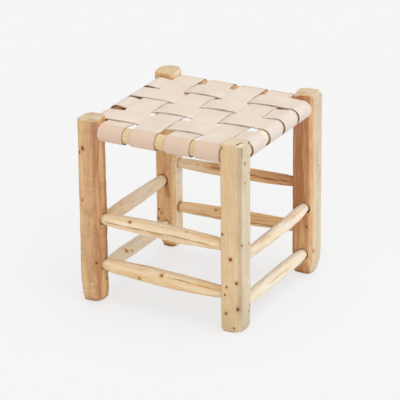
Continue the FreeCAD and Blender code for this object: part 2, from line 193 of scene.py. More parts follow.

# Each leg, in mm, with heights from the floor:
# corners, foot_corners: how far its corners are hewn, anticlockwise from the left front one, and at the foot
# foot_round, foot_grey: how far the corners turn round towards the foot, and how far the foot is greyed
# sole, worn: height and width of the bevel round the sole, and how much higher it is worn at each corner
# streaks, marks: how far bark streaks and tool marks show
# tones, soils_and_shade: sapwood (0) to heartwood (1), and clean (0) to grey (1), by side as in SIDES and for
# the top
# the grey by side is mostly painted shade, darkening the tops and right sides where the lamps fall strongest
# corner: tone, soil_and_shade and streaks of its right front corner, greyed with painted shade on the front
# right leg
# bands: side, place across it, half width, height of both ends and added tone
# cuts: knife cuts on the top, by plan angle in degrees, distance from the axis and lean in degrees
# knots: by side, as place across it, height and radius
# split: a drying split in the top, whose walls are painted with shade, and how far a dark check runs down the
# corner from it
LEGS = {
    "leg_front_left": {
        "corners": (4, 7, 8, 19), "foot_corners": (6, 8, 5, 19), "foot_round": 0.0, "foot_grey": 0.0,
        "sole": (7, 15), "worn": (0, 3, 2, 2), "streaks": 0.22, "marks": 0.8, "seed": 11,
        "tones": (0.72, 0.55, 0.48, 0.74, 0.30), "soils_and_shade": (0.22, 0.15, 0.15, 0.08, 0.43),
        "corner": {"tone": 0.92, "soil_and_shade": 0.15, "streaks": 0.75},
        "bands": (
            ("front", -1, 8, 18, 44, -0.16), ("front", 13, 4, 0, 380, 0.14), ("right", -14, 2, 0, 380, 0.30),
            ("right", 9, 5, 0, 380, 0.20), ("right", 0, 25, 250, 380, -0.14), ("right", 0, 25, 0, 70, -0.16),
            ("front", -14, 6, 0, 380, -0.10),
        ),
        "cuts": ((-90, 0, 79), (-100, 18.5, 40), (180, 17.5, 40), (90, 18, 40), (135, 20, 42), (0, 19, 35)),
        "knots": {
            "front": ((-9, 313.5, 3.2), (-16, 305, 2.4), (-12, 209.5, 1.7), (16.5, 86.5, 2.8)),
            "right": ((6.5, 46, 2.2),),
            "left": ((4, 249, 3.0), (-8, 129, 2.2)),
            "back": ((3, 269, 2.6),),
        },
    },
    "leg_front_right": {
        "corners": (2, 7.5, 2.5, 9), "foot_corners": (4, 13, 5, 10), "foot_round": 1.0, "foot_grey": 0.22,
        "sole": (1, 6), "worn": (0, 5, 0, 2), "streaks": 0.08, "marks": 0.14, "seed": 23,
        "tones": (0.44, 0.48, 0.50, 0.13, 0.20), "soils_and_shade": (0.26, 0.15, 0.15, 0.42, 0.29),
        "corner": {"tone": 0.38, "soil_and_shade": 0.80, "streaks": 0.10},
        "bands": (("front", 18, 5, 45, 92, 0.20), ("right", -12, 4, 70, 140, 0.10)),
        "cuts": (
            (-18, 14.1, 65), (-95, 19.8, 30), (0, 19.4, 35), (180, 19.5, 35), (90, 18.8, 35), (45, 23, 40),
        ),
        "knots": {
            "front": (
                (-18, 364.5, 2.0), (19.5, 315, 2.2), (-16.5, 195.5, 2.2), (17, 188, 1.7), (0, 148.5, 3.3),
                (12.5, 103, 3.0), (-8.5, 91.5, 2.2), (-12, 75.5, 2.0), (15.5, 50.5, 4.0), (-9.5, 38.5, 2.6),
                (6, 10.5, 2.4),
            ),
            "right": (
                (-3, 334.5, 2.6), (14, 311, 1.5), (-1, 295.5, 1.9), (-15, 177.5, 2.2), (11.5, 173, 1.8),
                (15.5, 47.5, 1.6), (13, 36, 2.0),
            ),
            "left": ((5, 259, 2.4),),
            "back": ((-6, 239, 3.0),),
        },
        "split": {"length": 20, "width": 3.0, "depth": 4.0, "check_and_shade": 35},
    },
    "leg_back_right": {
        "corners": (1, 5.5, 1, 9), "foot_corners": (3, 8, 7, 9), "foot_round": 0.1, "foot_grey": 0.0,
        "sole": (6.5, 14), "worn": (1, 1, 3, 0), "streaks": 0.75, "marks": 0.2, "seed": 37,
        "tones": (0.90, 0.50, 0.74, 0.17, 0.30), "soils_and_shade": (0.05, 0.15, 0.1, 0.40, 0.41),
        "corner": {"tone": 0.70, "soil_and_shade": 0.1, "streaks": 0.15},
        "bands": (
            ("front", -4, 4.5, 150, 380, 0.28), ("front", 13, 5, 0, 380, -0.10),
            ("right", -16, 3, 0, 380, 0.15), ("right", 2, 2, 60, 380, 0.12), ("front", 0, 25, 0, 120, -0.08),
        ),
        "cuts": ((-130, 13, 66), (0, 17.5, 42), (45, 22, 40), (135, 22, 45), (-90, 19.5, 35), (90, 19, 40)),
        "knots": {
            "front": ((9.5, 104.5, 1.8),),
            "right": ((-12, 53, 3.0), (6.5, 224, 1.8)),
            "back": ((4, 189, 3.2), (-9, 309, 2.2)),
        },
    },
    "leg_back_left": {
        "corners": (2, 6, 8, 17), "foot_corners": (6, 9, 10, 17), "foot_round": 0.5, "foot_grey": 0.0,
        "sole": (6.5, 14), "worn": (2, 2, 2, 2), "streaks": 0.2, "marks": 0.4, "seed": 41,
        "tones": (0.63, 0.48, 0.42, 0.13, 0.34), "soils_and_shade": (0.0, 0.15, 0.15, 0.0, 0.43),
        "corner": {"tone": 0.42, "soil_and_shade": 0.1, "streaks": 0.2},
        "bands": (("front", 5, 6, 112, 140, 0.30), ("front", -2, 4, 150, 330, 0.12)),
        "cuts": ((-90, 0, 78), (-90, 19.5, 40), (180, 18.5, 40), (90, 18.5, 40), (135, 21, 42), (45, 21, 42)),
        "knots": {
            "front": ((-14.5, 82, 1.9), (-9.5, 75, 1.6), (-16, 62.5, 2.0), (2, 59, 2.2)),
            "left": ((6, 219, 3.0), (-7, 99, 2.4)),
            "back": ((4, 309, 2.6), (-8, 159, 2.0)),
        },
    },
}

# Each stick from its left or front end, in mm and in degrees round it (90 is up, 180 the front or right):
# shift, drop, girth: how far it lies beside and below its node, and how many times as thick it is, at one
# end, in the middle and at the other end
# ends, tones: tone added right at its two ends, part staining and part painted shade, and tone from end to
# end, kept pale on the left sticks as painted light against the shade under the seat
# streaks, soil_and_shade: how far bark streaks show, and how far the wood is greyed
# patch: a reddish patch by share of the length, angle, half length, half width and strength
# knots: share of the length, angle and radius
# check_and_shade: path of a drying check as shares and angles, and its width
# gaps: how far the mortise at each end stands off it, across and up
STICKS = {
    "stretcher_front_upper": {
        "shift": (0, 0, 0), "drop": (0.8, 1.7, 2.6), "girth": (1, 1, 1), "ends": (0.1, 0),
        "tones": (0.26, 0.30), "streaks": 0.9, "soil_and_shade": 0.06, "patch": (0.86, 120, 22, 5, 0.35),
        "knots": ((0.24, 136, 3.6), (0.70, 120, 1.6), (0.55, 300, 2.0)), "gaps": ((-1.8, 0.1), (0.0, 0.4)),
        "check_and_shade": ((0.0, 0.3, 0.6, 0.97), (188, 179, 176, 188), 1.2), "seed": 53,
    },
    "stretcher_front_lower": {
        "shift": (0, 0, 0), "drop": (1.2, 1.8, 2.4), "girth": (1, 1, 0.96), "ends": (0.1, 0),
        "tones": (0.35, 0.36), "streaks": 0.9, "soil_and_shade": 0.1, "patch": (0.62, 190, 25, 5, 0.35),
        "knots": ((0.50, 136, 4.0), (0.32, 200, 2.8), (0.82, 60, 1.8)), "gaps": ((-1.4, 0.5), (0.0, 0.4)),
        "check_and_shade": ((0.52, 0.99), (140, 150), 0.8), "seed": 59,
    },
    "stretcher_back_upper": {
        "shift": (0, 0, 0), "drop": (-1.6, 0.1, 1.8), "girth": (1, 1, 1), "ends": (0.3, 0),
        "tones": (0.16, 0.84), "streaks": 0.6, "soil_and_shade": 0, "patch": (0.33, 132, 21, 7, 2.0),
        "knots": ((0.18, 150, 1.4), (0.60, 10, 2.4)), "gaps": ((-0.5, 0.3), (0.4, 0.4)),
        "check_and_shade": ((0.55, 0.95), (165, 172), 0.8), "seed": 61,
    },
    "stretcher_back_lower": {
        "shift": (0, 0, 0), "drop": (1.2, 1.6, 2.0), "girth": (1.04, 1.08, 1.12), "ends": (0.5, 0),
        "tones": (0.40, 0.60), "streaks": 0.6, "soil_and_shade": 0, "patch": (0.50, 150, 20, 5, 0.40),
        "knots": ((0.33, 136, 2.0), (0.60, 20, 2.2)), "gaps": ((-0.5, 0.3), (0.4, 0.4)),
        "check_and_shade": ((0.12, 0.97), (204, 196), 1.0), "seed": 67,
    },
    "stretcher_left_upper": {
        "shift": (0, -3, -8), "drop": (0.4, 1.2, 3.5), "girth": (1.22, 1.30, 1.12), "ends": (0.25, 0.5),
        "tones": (0.28, 0.06), "streaks": 0.7, "soil_and_shade": 0, "patch": (0.10, 120, 22, 6, 0.45),
        "knots": ((0.55, 20, 2.2), (0.30, 110, 1.4)), "gaps": ((0.4, 0.4), (1.4, 0.2)),
        "check_and_shade": ((0.10, 0.70), (210, 220), 0.7), "seed": 71,
    },
    "stretcher_left_lower": {
        "shift": (0, 0, 0), "drop": (3.2, 3.6, 8.5), "girth": (1.22, 1.30, 0.90), "ends": (0, 0.2),
        "tones": (0.11, 0.09), "streaks": 0.45, "soil_and_shade": 0, "patch": (0.35, 150, 14, 5, 0.50),
        "knots": ((0.32, 136, 3.8), (0.38, 165, 2.8), (0.70, 30, 2.2)), "gaps": ((0.4, 0.4), (1.0, 0.2)),
        "check_and_shade": ((0.25, 0.80), (70, 76), 0.7), "seed": 73,
    },
    "stretcher_right_upper": {
        "shift": (0, 1, 4), "drop": (1.8, 0.9, -0.3), "girth": (1, 1, 1.05), "ends": (0, 0.2),
        "tones": (0.12, 0.06), "streaks": 0.65, "soil_and_shade": 0.07, "patch": (0.12, 222, 22, 4, 0.70),
        "knots": ((0.62, 150, 1.4), (0.35, 40, 2.4)), "gaps": ((0.2, 0.4), (1.8, 0.3)),
        "check_and_shade": ((0.15, 0.55), (186, 194), 0.7), "seed": 79,
    },
    "stretcher_right_lower": {
        "shift": (0, 0, 1), "drop": (4.2, 2.2, 0.2), "girth": (0.92, 0.96, 1.05), "ends": (0, 0.2),
        "tones": (0.06, 0.05), "streaks": 0.2, "soil_and_shade": 0.07, "patch": (0.75, 150, 15, 4, 0.25),
        "knots": ((0.40, 60, 2.0), (0.72, 160, 1.2)), "gaps": ((0.2, 0.4), (1.2, 0.8)),
        "check_and_shade": ((0.35, 0.70), (150, 156), 0.6), "seed": 83,
    },
}

# Each seat rail: its tone, how far bark streaks show and the wood is greyed, and how much painted shade
# darkens it;
# the left rail's painted shade and darkest tone stand in for the shade it lies in
RAILS = {
    "front": {"tone": 0.41, "streaks": 0.15, "soil_and_shade": 0.22, "painted_shade": 0.0, "seed": 89},
    "back": {"tone": 0.66, "streaks": 0.4, "soil_and_shade": 0.2, "painted_shade": 0.0, "seed": 97},
    "left": {"tone": 1.0, "streaks": 0.5, "soil_and_shade": 0.0, "painted_shade": 0.45, "seed": 101},
    "right": {"tone": 0.16, "streaks": 0.1, "soil_and_shade": 0.0, "painted_shade": 0.0, "seed": 103},
}

# Straps: how far each runs off square, as sideways travel for its length; its waves, cup, dents and edges;
# and for the two kinds, whether the grain side turns pink (1) or is whitened with painted light (-1) at the
# rolls, how dark the cut edges are there and on the seat, part burnish and part painted shade, and how many
# mm the rolls stand off the rails
STRAP_SKEWS = {
    "strap_long_a": 0.0116, "strap_long_b": 0.005, "strap_long_c": -0.0116, "strap_long_d": -0.0132,
    "strap_cross_a": 0.040, "strap_cross_b": 0.023, "strap_cross_c": 0.028, "strap_cross_d": 0.0147,
}
STRAP_CROWN = 1.1 * MM
STRAP_SAG = 0.5 * MM
STRAP_CUP = 0.25 * MM
STRAP_DENT = 0.16 * MM
STRAP_DENT_WAVE = 0.035
STRAP_EDGE_UNEVEN = 0.35 * MM
STRAP_EDGE_WAVE = 0.06
STRAP_EDGE_ROUND = 0.6 * MM
LONG_STRAPS = {"bend": 1.0, "roll_edge": 1.0, "seat_edge": 0.0, "loose": 0.3}
CROSS_STRAPS = {"bend": -1.0, "roll_edge": 1.0, "seat_edge": 0.35, "loose": 1.5}
STRAP_SEED = 131
LAY_APART = 2.0
LEATHER_TONES = (
    (0.28, (0.765, 0.632, 0.515)),
    (0.50, (0.803, 0.682, 0.567)),
    (0.72, (0.833, 0.726, 0.619)),
)
PINK_ROLL = (0.700, 0.508, 0.384)
ROLL_HIGHLIGHT = (0.765, 0.665, 0.592)
SCUFF = (0.66, 0.49, 0.38)
SUEDE = ((0.60, 0.475, 0.365), (0.74, 0.615, 0.490))
RAW_EDGE = ((0.62, 0.50, 0.38), (0.80, 0.68, 0.55))
DARK_EDGE = ((0.16, 0.105, 0.068), (0.30, 0.215, 0.15))

STEEL_TONES = (
    (0.35, (0.115, 0.110, 0.108)),
    (0.55, (0.170, 0.155, 0.140)),
    (0.75, (0.230, 0.135, 0.080)),
)


# Numbers and meshes

def waves(points, wavelength, seed, count=12):
    """Smooth seeded unevenness between about -1 and 1, of about one wavelength."""
    rng = np.random.default_rng(seed)
    directions = rng.normal(size=(count, points.shape[1]))
    directions /= np.linalg.norm(directions, axis=1, keepdims=True)
    lengths = wavelength * rng.uniform(0.7, 1.6, count)
    phases = rng.uniform(0, 2 * math.pi, count)
    swings = np.sin(points @ (directions / lengths[:, None]).T * 2 * math.pi + phases)
    return swings.sum(axis=1) / math.sqrt(2 * count)


def waves_along(places, wavelength, seed):
    """Unevenness that changes along one line only."""
    return waves(np.stack([places, np.zeros(len(places))], axis=1), wavelength, seed)


def layered_waves(points, layers, seed):
    """The sum of some layers of waves, in metres."""
    total = np.zeros(len(points))
    for depth, wavelength, stretch, step in layers:
        total += depth * MM * waves(points * stretch, wavelength, seed + step)
    return total


def sway(along, seed, terms):
    """The sum of some sways along a piece."""
    return sum(reach * np.sin(along * pace + step * seed) for reach, pace, step in terms)


def smooth_step(low, high, value):
    """0 below low, 1 above high and an S-curve between them."""
    share = np.clip((value - low) / (high - low), 0, 1)
    return share * share * (3 - 2 * share)


def bell(value):
    """1 at 0, and falling off to nothing on both sides."""
    return np.exp(-(value ** 2))


def soften(values, times):
    """Rounds the corners of a row of values, with its ends kept."""
    for _ in range(times):
        values[1:-1] = (values[:-2] + 2 * values[1:-1] + values[2:]) / 4
    return values


def read_vectors(items, key):
    """One vector for each item of a mesh, as an array."""
    values = np.zeros(len(items) * 3, np.float32)
    items.foreach_get(key, values)
    return values.reshape(-1, 3).astype(float)


def node_points(name):
    """The corners of a node's mesh as an array."""
    return read_vectors(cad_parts[name].data.vertices, "co")


def tube_faces(rings, around):
    """Faces of a tube of rings, each with as many points, with a flat cap at each end."""
    faces = []
    for ring in range(rings - 1):
        low = ring * around
        high = low + around
        for place in range(around):
            following = (place + 1) % around
            faces.append((low + place, low + following, high + following, high + place))
    faces.append(tuple(range(around))[::-1])
    faces.append(tuple(range((rings - 1) * around, rings * around)))
    return faces


def add_piece(name, points, faces):
    """A mesh object from points and faces, with its faces turned outwards."""
    mesh = bpy.data.meshes.new(name)
    mesh.from_pydata(points.tolist(), [], faces)
    work = bmesh.new()
    work.from_mesh(mesh)
    bmesh.ops.recalc_face_normals(work, faces=work.faces)
    work.to_mesh(mesh)
    work.free()
    piece = bpy.data.objects.new(name, mesh)
    bpy.context.scene.collection.objects.link(piece)
    return piece


def settle(piece, node, material, sharp_angle):
    """Shades a piece, gives it its material and lets it stand for its node."""
    mesh = piece.data
    mesh.shade_smooth()
    mesh.set_sharp_from_angle(angle=math.radians(sharp_angle))
    mesh.materials.append(material)
    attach(piece, "root")
    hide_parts(node)


def write_values(mesh, name, values):
    """One number for each point of a mesh."""
    spread = np.broadcast_to(np.asarray(values, np.float32), (len(mesh.vertices),))
    attribute = mesh.attributes.new(name, "FLOAT", "POINT")
    attribute.data.foreach_set("value", np.ascontiguousarray(spread))


def write_vectors(mesh, name, vectors):
    """One vector for each point of a mesh."""
    attribute = mesh.attributes.new(name, "FLOAT_VECTOR", "POINT")
    attribute.data.foreach_set("vector", np.asarray(vectors, np.float32).ravel())


def write_wood(mesh, grain, tone, streaks, marks, knot=KNOT_REACH, check_and_shade=0.0, soil_and_shade=0.0):
    """What the wood material reads: the place in the grain and the wood values."""
    write_vectors(mesh, "grain", grain)
    for name, values in zip(WOOD_VALUES, (tone, streaks, marks, knot, check_and_shade, soil_and_shade)):
        write_values(mesh, name, values)


def knot_field(points, knots):
    """Distance to the nearest knot, in knot radii, up to a limit."""
    nearest = np.full(len(points), KNOT_REACH)
    for centre, radius in knots:
        nearest = np.minimum(nearest, np.linalg.norm(points - centre, axis=1) / radius)
    return nearest


# Node graphs

def add_node(tree, kind, inputs=None, **settings):
    """A shader node with its settings, and its inputs by place or name as links or plain values."""
    node = tree.nodes.new(kind)
    for key, value in settings.items():
        setattr(node, key, value)
    for key, value in (inputs or {}).items():
        if isinstance(value, bpy.types.NodeSocket):
            tree.links.new(value, node.inputs[key])
        else:
            node.inputs[key].default_value = value
    return node


def graph_of(values):
    """The graph of the first link among some values."""
    return next(value.id_data for value in values if isinstance(value, bpy.types.NodeSocket))


def calculate(operation, *values):
    """A math node's result."""
    inputs = dict(enumerate(values))
    return add_node(graph_of(values), "ShaderNodeMath", inputs, operation=operation).outputs[0]


def multiply(first, second):
    """The product of two values."""
    return calculate("MULTIPLY", first, second)


def centred(value):
    """A value from 0 to 1 turned into one from minus to plus a half."""
    return calculate("SUBTRACT", value, 0.5)


def weighted(total, *terms):
    """A value with others added to it, each times its weight."""
    for value, weight in terms:
        total = calculate("MULTIPLY_ADD", value, weight, total)
    return total


def vector_of(operation, *vectors):
    """A vector math node's result."""
    inputs = dict(enumerate(vectors))
    return add_node(graph_of(vectors), "ShaderNodeVectorMath", inputs, operation=operation).outputs[0]


def step_between(value, low, high):
    """A value taken smoothly from 0 at low to 1 at high."""
    limits = dict(enumerate((value, low, high, 0.0, 1.0)))
    return add_node(value.id_data, "ShaderNodeMapRange", limits, interpolation_type="SMOOTHSTEP").outputs[0]


def blend_colours(share, first, second, mode="MIX"):
    """Two colours mixed by a share, each a link or plain red, green and blue."""
    colours = [(*colour, 1.0) if isinstance(colour, tuple) else colour for colour in (first, second)]
    inputs = dict(zip((0, 6, 7), (share, *colours)))
    tree = graph_of(inputs.values())
    return add_node(tree, "ShaderNodeMix", inputs, data_type="RGBA", blend_type=mode).outputs[2]


def tint(colour, share, strength, pigment):
    """A colour with a pigment over it, by a share times a strength."""
    return blend_colours(multiply(share, strength), colour, pigment)


def noise(vector, scale, detail, roughness):
    """A noise node on coordinates scaled along each axis."""
    place = vector_of("MULTIPLY", vector, scale)
    inputs = {"Vector": place, "Scale": 1.0, "Detail": detail, "Roughness": roughness}
    return add_node(vector.id_data, "ShaderNodeTexNoise", inputs)


def cloud(vector, scale, detail=3.0, roughness=0.55):
    """Noise from 0 to 1."""
    return noise(vector, scale, detail, roughness).outputs[0]


def specks(vector, scale, chance, size):
    """Scattered spots, 1 inside them: which share of the cells has one, and how wide it is in its cell."""
    tree = vector.id_data
    place = vector_of("MULTIPLY", vector, scale)
    cells = add_node(tree, "ShaderNodeTexVoronoi", {"Vector": place, "Scale": 1.0}).outputs
    lot = add_node(tree, "ShaderNodeSeparateColor", {0: cells["Color"]}).outputs[0]
    chosen = calculate("LESS_THAN", lot, chance)
    return multiply(step_between(cells["Distance"], size, 0.4 * size), chosen)


def ramp(value, stops):
    """A value turned into a colour by stops of place and colour."""
    node = add_node(value.id_data, "ShaderNodeValToRGB", {0: value})
    elements = node.color_ramp.elements
    while len(elements) < len(stops):
        elements.new(0.5)
    for element, (place, colour) in zip(elements, stops):
        element.position = place
        element.color = (*colour, 1.0)
    return node.outputs[0]


def mesh_value(tree, name, output="Fac"):
    """A mesh attribute, as a number or another output."""
    return add_node(tree, "ShaderNodeAttribute", attribute_name=name).outputs[output]


def start_material(name):
    """A new material with an empty graph, its surface shader and its output."""
    material = bpy.data.materials.new(name)
    material.use_nodes = True
    tree = material.node_tree
    tree.nodes.clear()
    shader = tree.nodes.new("ShaderNodeBsdfPrincipled")
    output = tree.nodes.new("ShaderNodeOutputMaterial")
    tree.links.new(shader.outputs[0], output.inputs[0])
    return material, tree, shader


def dress(shader, colour, roughness, height, strength, depth):
    """Gives a surface its colour, roughness and relief."""
    tree = shader.id_data
    relief = {"Strength": strength, "Distance": depth, "Height": height}
    bump = add_node(tree, "ShaderNodeBump", relief).outputs[0]
    for name, value in (("Base Color", colour), ("Roughness", roughness), ("Normal", bump)):
        tree.links.new(value, shader.inputs[name])


def seen_directly(tree):
    """1 for what the camera sees, also in a reflection or through glass, and 0 for light on the object."""
    path = add_node(tree, "ShaderNodeLightPath").outputs
    seen = calculate("MAXIMUM", path["Is Camera Ray"], path["Is Glossy Ray"])
    return calculate("MAXIMUM", seen, path["Is Transmission Ray"])


def wood_material(name):
    """Bare hewn wood: growth rings, streaks, fibres, knots, flecks and drying checks, with painted shade in
    its grey and in the dark colour of its checks.
    """
    material, tree, shader = start_material(name)
    grain = mesh_value(tree, "grain", "Vector")
    tone, streaks, marks, knot, check_and_shade, soil_and_shade = [mesh_value(tree, value) for value in WOOD_VALUES]

    # Rings about a pith that wanders along the piece
    wander = noise(grain, (5, 26, 26), 2.0, 0.5).outputs["Color"]
    moved = vector_of("SUBTRACT", wander, (0.5, 0.5, 0.5))
    bent = vector_of("MULTIPLY_ADD", moved, (0.0, 0.022, 0.022), grain)
    across = vector_of("MULTIPLY", bent, (0, 1, 1))
    radius = add_node(tree, "ShaderNodeVectorMath", {0: across}, operation="LENGTH").outputs["Value"]
    ring = calculate("SINE", multiply(radius, 2 * math.pi / RING_WIDTH))
    late = calculate("POWER", calculate("MULTIPLY_ADD", ring, 0.5, 0.5), 3.0)

    streak = cloud(grain, (7, 150, 150), 5.0, 0.6)
    fibre = cloud(grain, (40, 1500, 1500), 2.0)
    blotch = cloud(grain, (16, 48, 48), 4.0)
    ragged = cloud(grain, (220, 500, 500))

    # Tone from sapwood to heartwood
    halo = step_between(knot, 2.6, 1.0)
    streak_reach = calculate("MULTIPLY_ADD", streaks, 0.80, 0.18)
    total = weighted(
        tone, (centred(streak), streak_reach), (centred(blotch), 0.24), (late, 0.10), (centred(fibre), 0.18),
        (halo, 0.20),
    )
    colour = ramp(total, WOOD_TONES)

    # Reddish streaks left by the inner bark, and grey, which on the legs is mostly painted shade on their lit
    # sides
    blush = step_between(cloud(grain, (11, 75, 75), 4.0), 0.54, 0.74)
    colour = tint(colour, blush, multiply(streaks, 0.70), BARK)
    colour = tint(colour, soil_and_shade, calculate("MULTIPLY_ADD", blotch, 0.8, 0.6), SOIL_AND_SHADE)

    # Brown and red flecks along the grain, most on pale wood
    flecked = calculate("MULTIPLY_ADD", step_between(tone, 0.60, 0.10), 0.40, 0.25)
    colour = tint(colour, specks(grain, (70, 330, 330), 0.12, 0.28), flecked, BROWN_FLECK)
    colour = tint(colour, specks(grain, (150, 420, 420), 0.08, 0.34), flecked, RED_FLECK)

    # Knots with a dark rim and a browner middle, and drying checks, whose dark colour also paints shade
    # inside the mortises and a split and on the left seat rail
    rough_knot = weighted(knot, (centred(ragged), 1.1))
    core = step_between(rough_knot, 1.15, 0.80)
    rim = multiply(core, step_between(rough_knot, 0.35, 0.85))
    crack_and_shade = step_between(weighted(check_and_shade, (ragged, 0.35)), 0.45, 0.80)
    colour = tint(colour, core, 0.88, KNOT_CORE)
    colour = tint(colour, rim, 0.75, KNOT_RIM)
    colour = tint(colour, crack_and_shade, 0.92, CRACK_AND_SHADE)

    # Fine tool marks across the piece, in patches, darker in their hollows
    chatter = step_between(cloud(grain, (420, 30, 30), 2.0), 0.47, 0.63)
    patches = step_between(cloud(grain, (15, 45, 45)), 0.38, 0.55)
    chatter = multiply(chatter, multiply(patches, marks))
    colour = tint(colour, chatter, 0.50, TOOL_MARK)

    # Raised grain, tool marks and sunken checks
    roughness = calculate("MULTIPLY_ADD", streak, 0.22, 0.52)
    height = weighted(fibre, (chatter, -0.9), (late, 0.35), (streak, 0.5), (core, -0.8), (crack_and_shade, -1.6))
    dress(shader, colour, roughness, height, 0.5, 0.5 * MM)
    shader.inputs["Specular IOR Level"].default_value = 0.30
    return material


def leather_material():
    """Vegetable-tanned leather: grain side, suede flesh side and raw cut edges, with painted light at the
    side rolls and painted shade on the edges.
    """
    material, tree, shader = start_material("natural_leather")
    lay = mesh_value(tree, "lay", "Vector")
    edge, flesh, bend, burnish_and_shade = [mesh_value(tree, value) for value in ("edge", "flesh", "bend", "burnish_and_shade")]

    blotch = cloud(lay, (14, 22, 22), 4.0)
    fine = cloud(lay, (420, 420, 420))
    hair = cloud(lay, (1500, 1500, 1500), 1.0)
    layers = cloud(lay, (90, 90, 2600))
    pores = {"Vector": vector_of("MULTIPLY", lay, (760, 760, 760)), "Scale": 1.0, "Smoothness": 0.35}
    cells = add_node(tree, "ShaderNodeTexVoronoi", pores, feature="SMOOTH_F1")

    # Grain side, pinker at the rolls round the front and back rails and whitened by painted light at the side
    # rolls, with scuffs along the strap
    colour = ramp(blotch, LEATHER_TONES)
    colour = tint(colour, step_between(bend, 0.0, 1.0), 0.9, PINK_ROLL)
    colour = tint(colour, step_between(bend, 0.0, -1.0), 0.9, ROLL_HIGHLIGHT)
    shade = calculate("MULTIPLY_ADD", centred(fine), 0.14, 1.0)
    grey = add_node(tree, "ShaderNodeCombineColor", {0: shade, 1: shade, 2: shade}).outputs[0]
    colour = blend_colours(1.0, colour, grey, mode="MULTIPLY")
    scuff = step_between(cloud(lay, (22, 190, 190), 4.0), 0.60, 0.74)
    colour = tint(colour, scuff, 0.14, SCUFF)

    # Flesh side and cut edges
    colour = blend_colours(flesh, colour, blend_colours(hair, *SUEDE))
    # Cut edges, dark on the rolls and on the cross straps' front edges: part burnish and part painted shade
    cut_edge = blend_colours(burnish_and_shade, blend_colours(layers, *RAW_EDGE), blend_colours(layers, *DARK_EDGE))
    colour = blend_colours(edge, colour, cut_edge)

    roughness = weighted(calculate("MULTIPLY_ADD", fine, 0.18, 0.52), (flesh, 0.22))
    relief = ((fine, 0.6), (multiply(hair, flesh), 2.0), (multiply(layers, edge), 1.5))
    height = weighted(cells.outputs["Distance"], *relief)
    dress(shader, colour, roughness, height, 0.25, 0.4 * MM)
    shader.inputs["Specular IOR Level"].default_value = 0.30
    return material


def steel_material():
    """Forged blued steel, dull and slightly browned."""
    material, tree, shader = start_material("blued_steel")
    place = add_node(tree, "ShaderNodeTexCoord").outputs["Object"]
    patch = cloud(place, (300, 300, 300), 4.0)
    pit = cloud(place, (1600, 1600, 1600), 2.0)
    roughness = calculate("MULTIPLY_ADD", patch, 0.35, 0.35)
    dress(shader, ramp(patch, STEEL_TONES), roughness, pit, 0.4, 0.2 * MM)
    shader.inputs["Metallic"].default_value = 0.85
    return material


# Sticks and rails

def side_facts(side):
    """The axis along a side, and its two legs with the one at the lower end of that axis first."""
    if side in ("front", "back"):
        return 0, (f"leg_{side}_left", f"leg_{side}_right")
    return 1, (f"leg_front_{side}", f"leg_back_{side}")


def stick_sections(name, along_axis):
    """Stations of a stick from its node's whole rings: place along it, middle across and up, and radius."""
    points = node_points(name)
    places, counts = np.unique(np.round(points[:, along_axis], 6), return_counts=True)
    across_axis = 1 - along_axis
    stations = []
    for place in places[counts > 0.7 * counts.max()]:
        ring = points[np.abs(points[:, along_axis] - place) < TOUCH]
        low = ring.min(axis=0)
        high = ring.max(axis=0)
        middle = (low + high) / 2
        stations.append((place, middle[across_axis], middle[2], (high[2] - low[2]) / 2))
    return np.array(stations)


def shown_sections(name, along_axis):
    """Stations of a stick as the photo shows it: its node's, moved and thickened a little from end to end."""
    stations = stick_sections(name, along_axis)
    facts = STICKS[name]
    share = (stations[:, 0] - stations[0, 0]) / (stations[-1, 0] - stations[0, 0])
    shift, drop, girth = (np.interp(share, (0, 0.5, 1), facts[key]) for key in ("shift", "drop", "girth"))
    stations[:, 1] += shift * MM
    stations[:, 2] -= drop * MM
    stations[:, 3] *= girth
    return stations


def to_frame(along, across, up, along_axis, middle):
    """Points of a stick in the frame, whose angle of 180 degrees faces the front, or the right on a side."""
    if along_axis == 0:
        return np.stack([along, middle + across, up], axis=-1)
    return np.stack([middle - across, along, up], axis=-1)


def whittle(angle, along, sides, seed):
    """How far flats bring a round stick in, as a share of its radius; the flats twist a little along it."""
    sector = 2 * math.pi / sides
    within = (angle + sway(along, seed, FLAT_TWIST)) % sector - sector / 2
    return 1 - math.cos(sector / 2) / np.cos(within)


def columns_beside(middle_columns, radius):
    """Angles round a stick from its check, with extra ones at the given distances beside it."""
    even = np.linspace(-math.pi, math.pi, STICK_POINTS, endpoint=False)
    near = middle_columns / radius
    return np.sort(np.concatenate([even[np.abs(even) > near.max() + CHECK_CLEAR / radius], near]))


def round_waves(along, angle, layers, seed):
    """Unevenness of a stick that meets itself all round."""
    drum = np.stack([along, np.cos(angle) * WAVE_DRUM, np.sin(angle) * WAVE_DRUM], axis=-1)
    return layered_waves(drum.reshape(-1, 3), layers, seed).reshape(angle.shape)


def round_grain(along, angle, radius, pith, seed):
    """Places of a stick's points in the grain."""
    across = radius * np.cos(angle) + pith[0]
    up = radius * np.sin(angle) - pith[1]
    return np.stack([along + GRAIN_APART * seed, across, up], axis=-1).reshape(-1, 3)


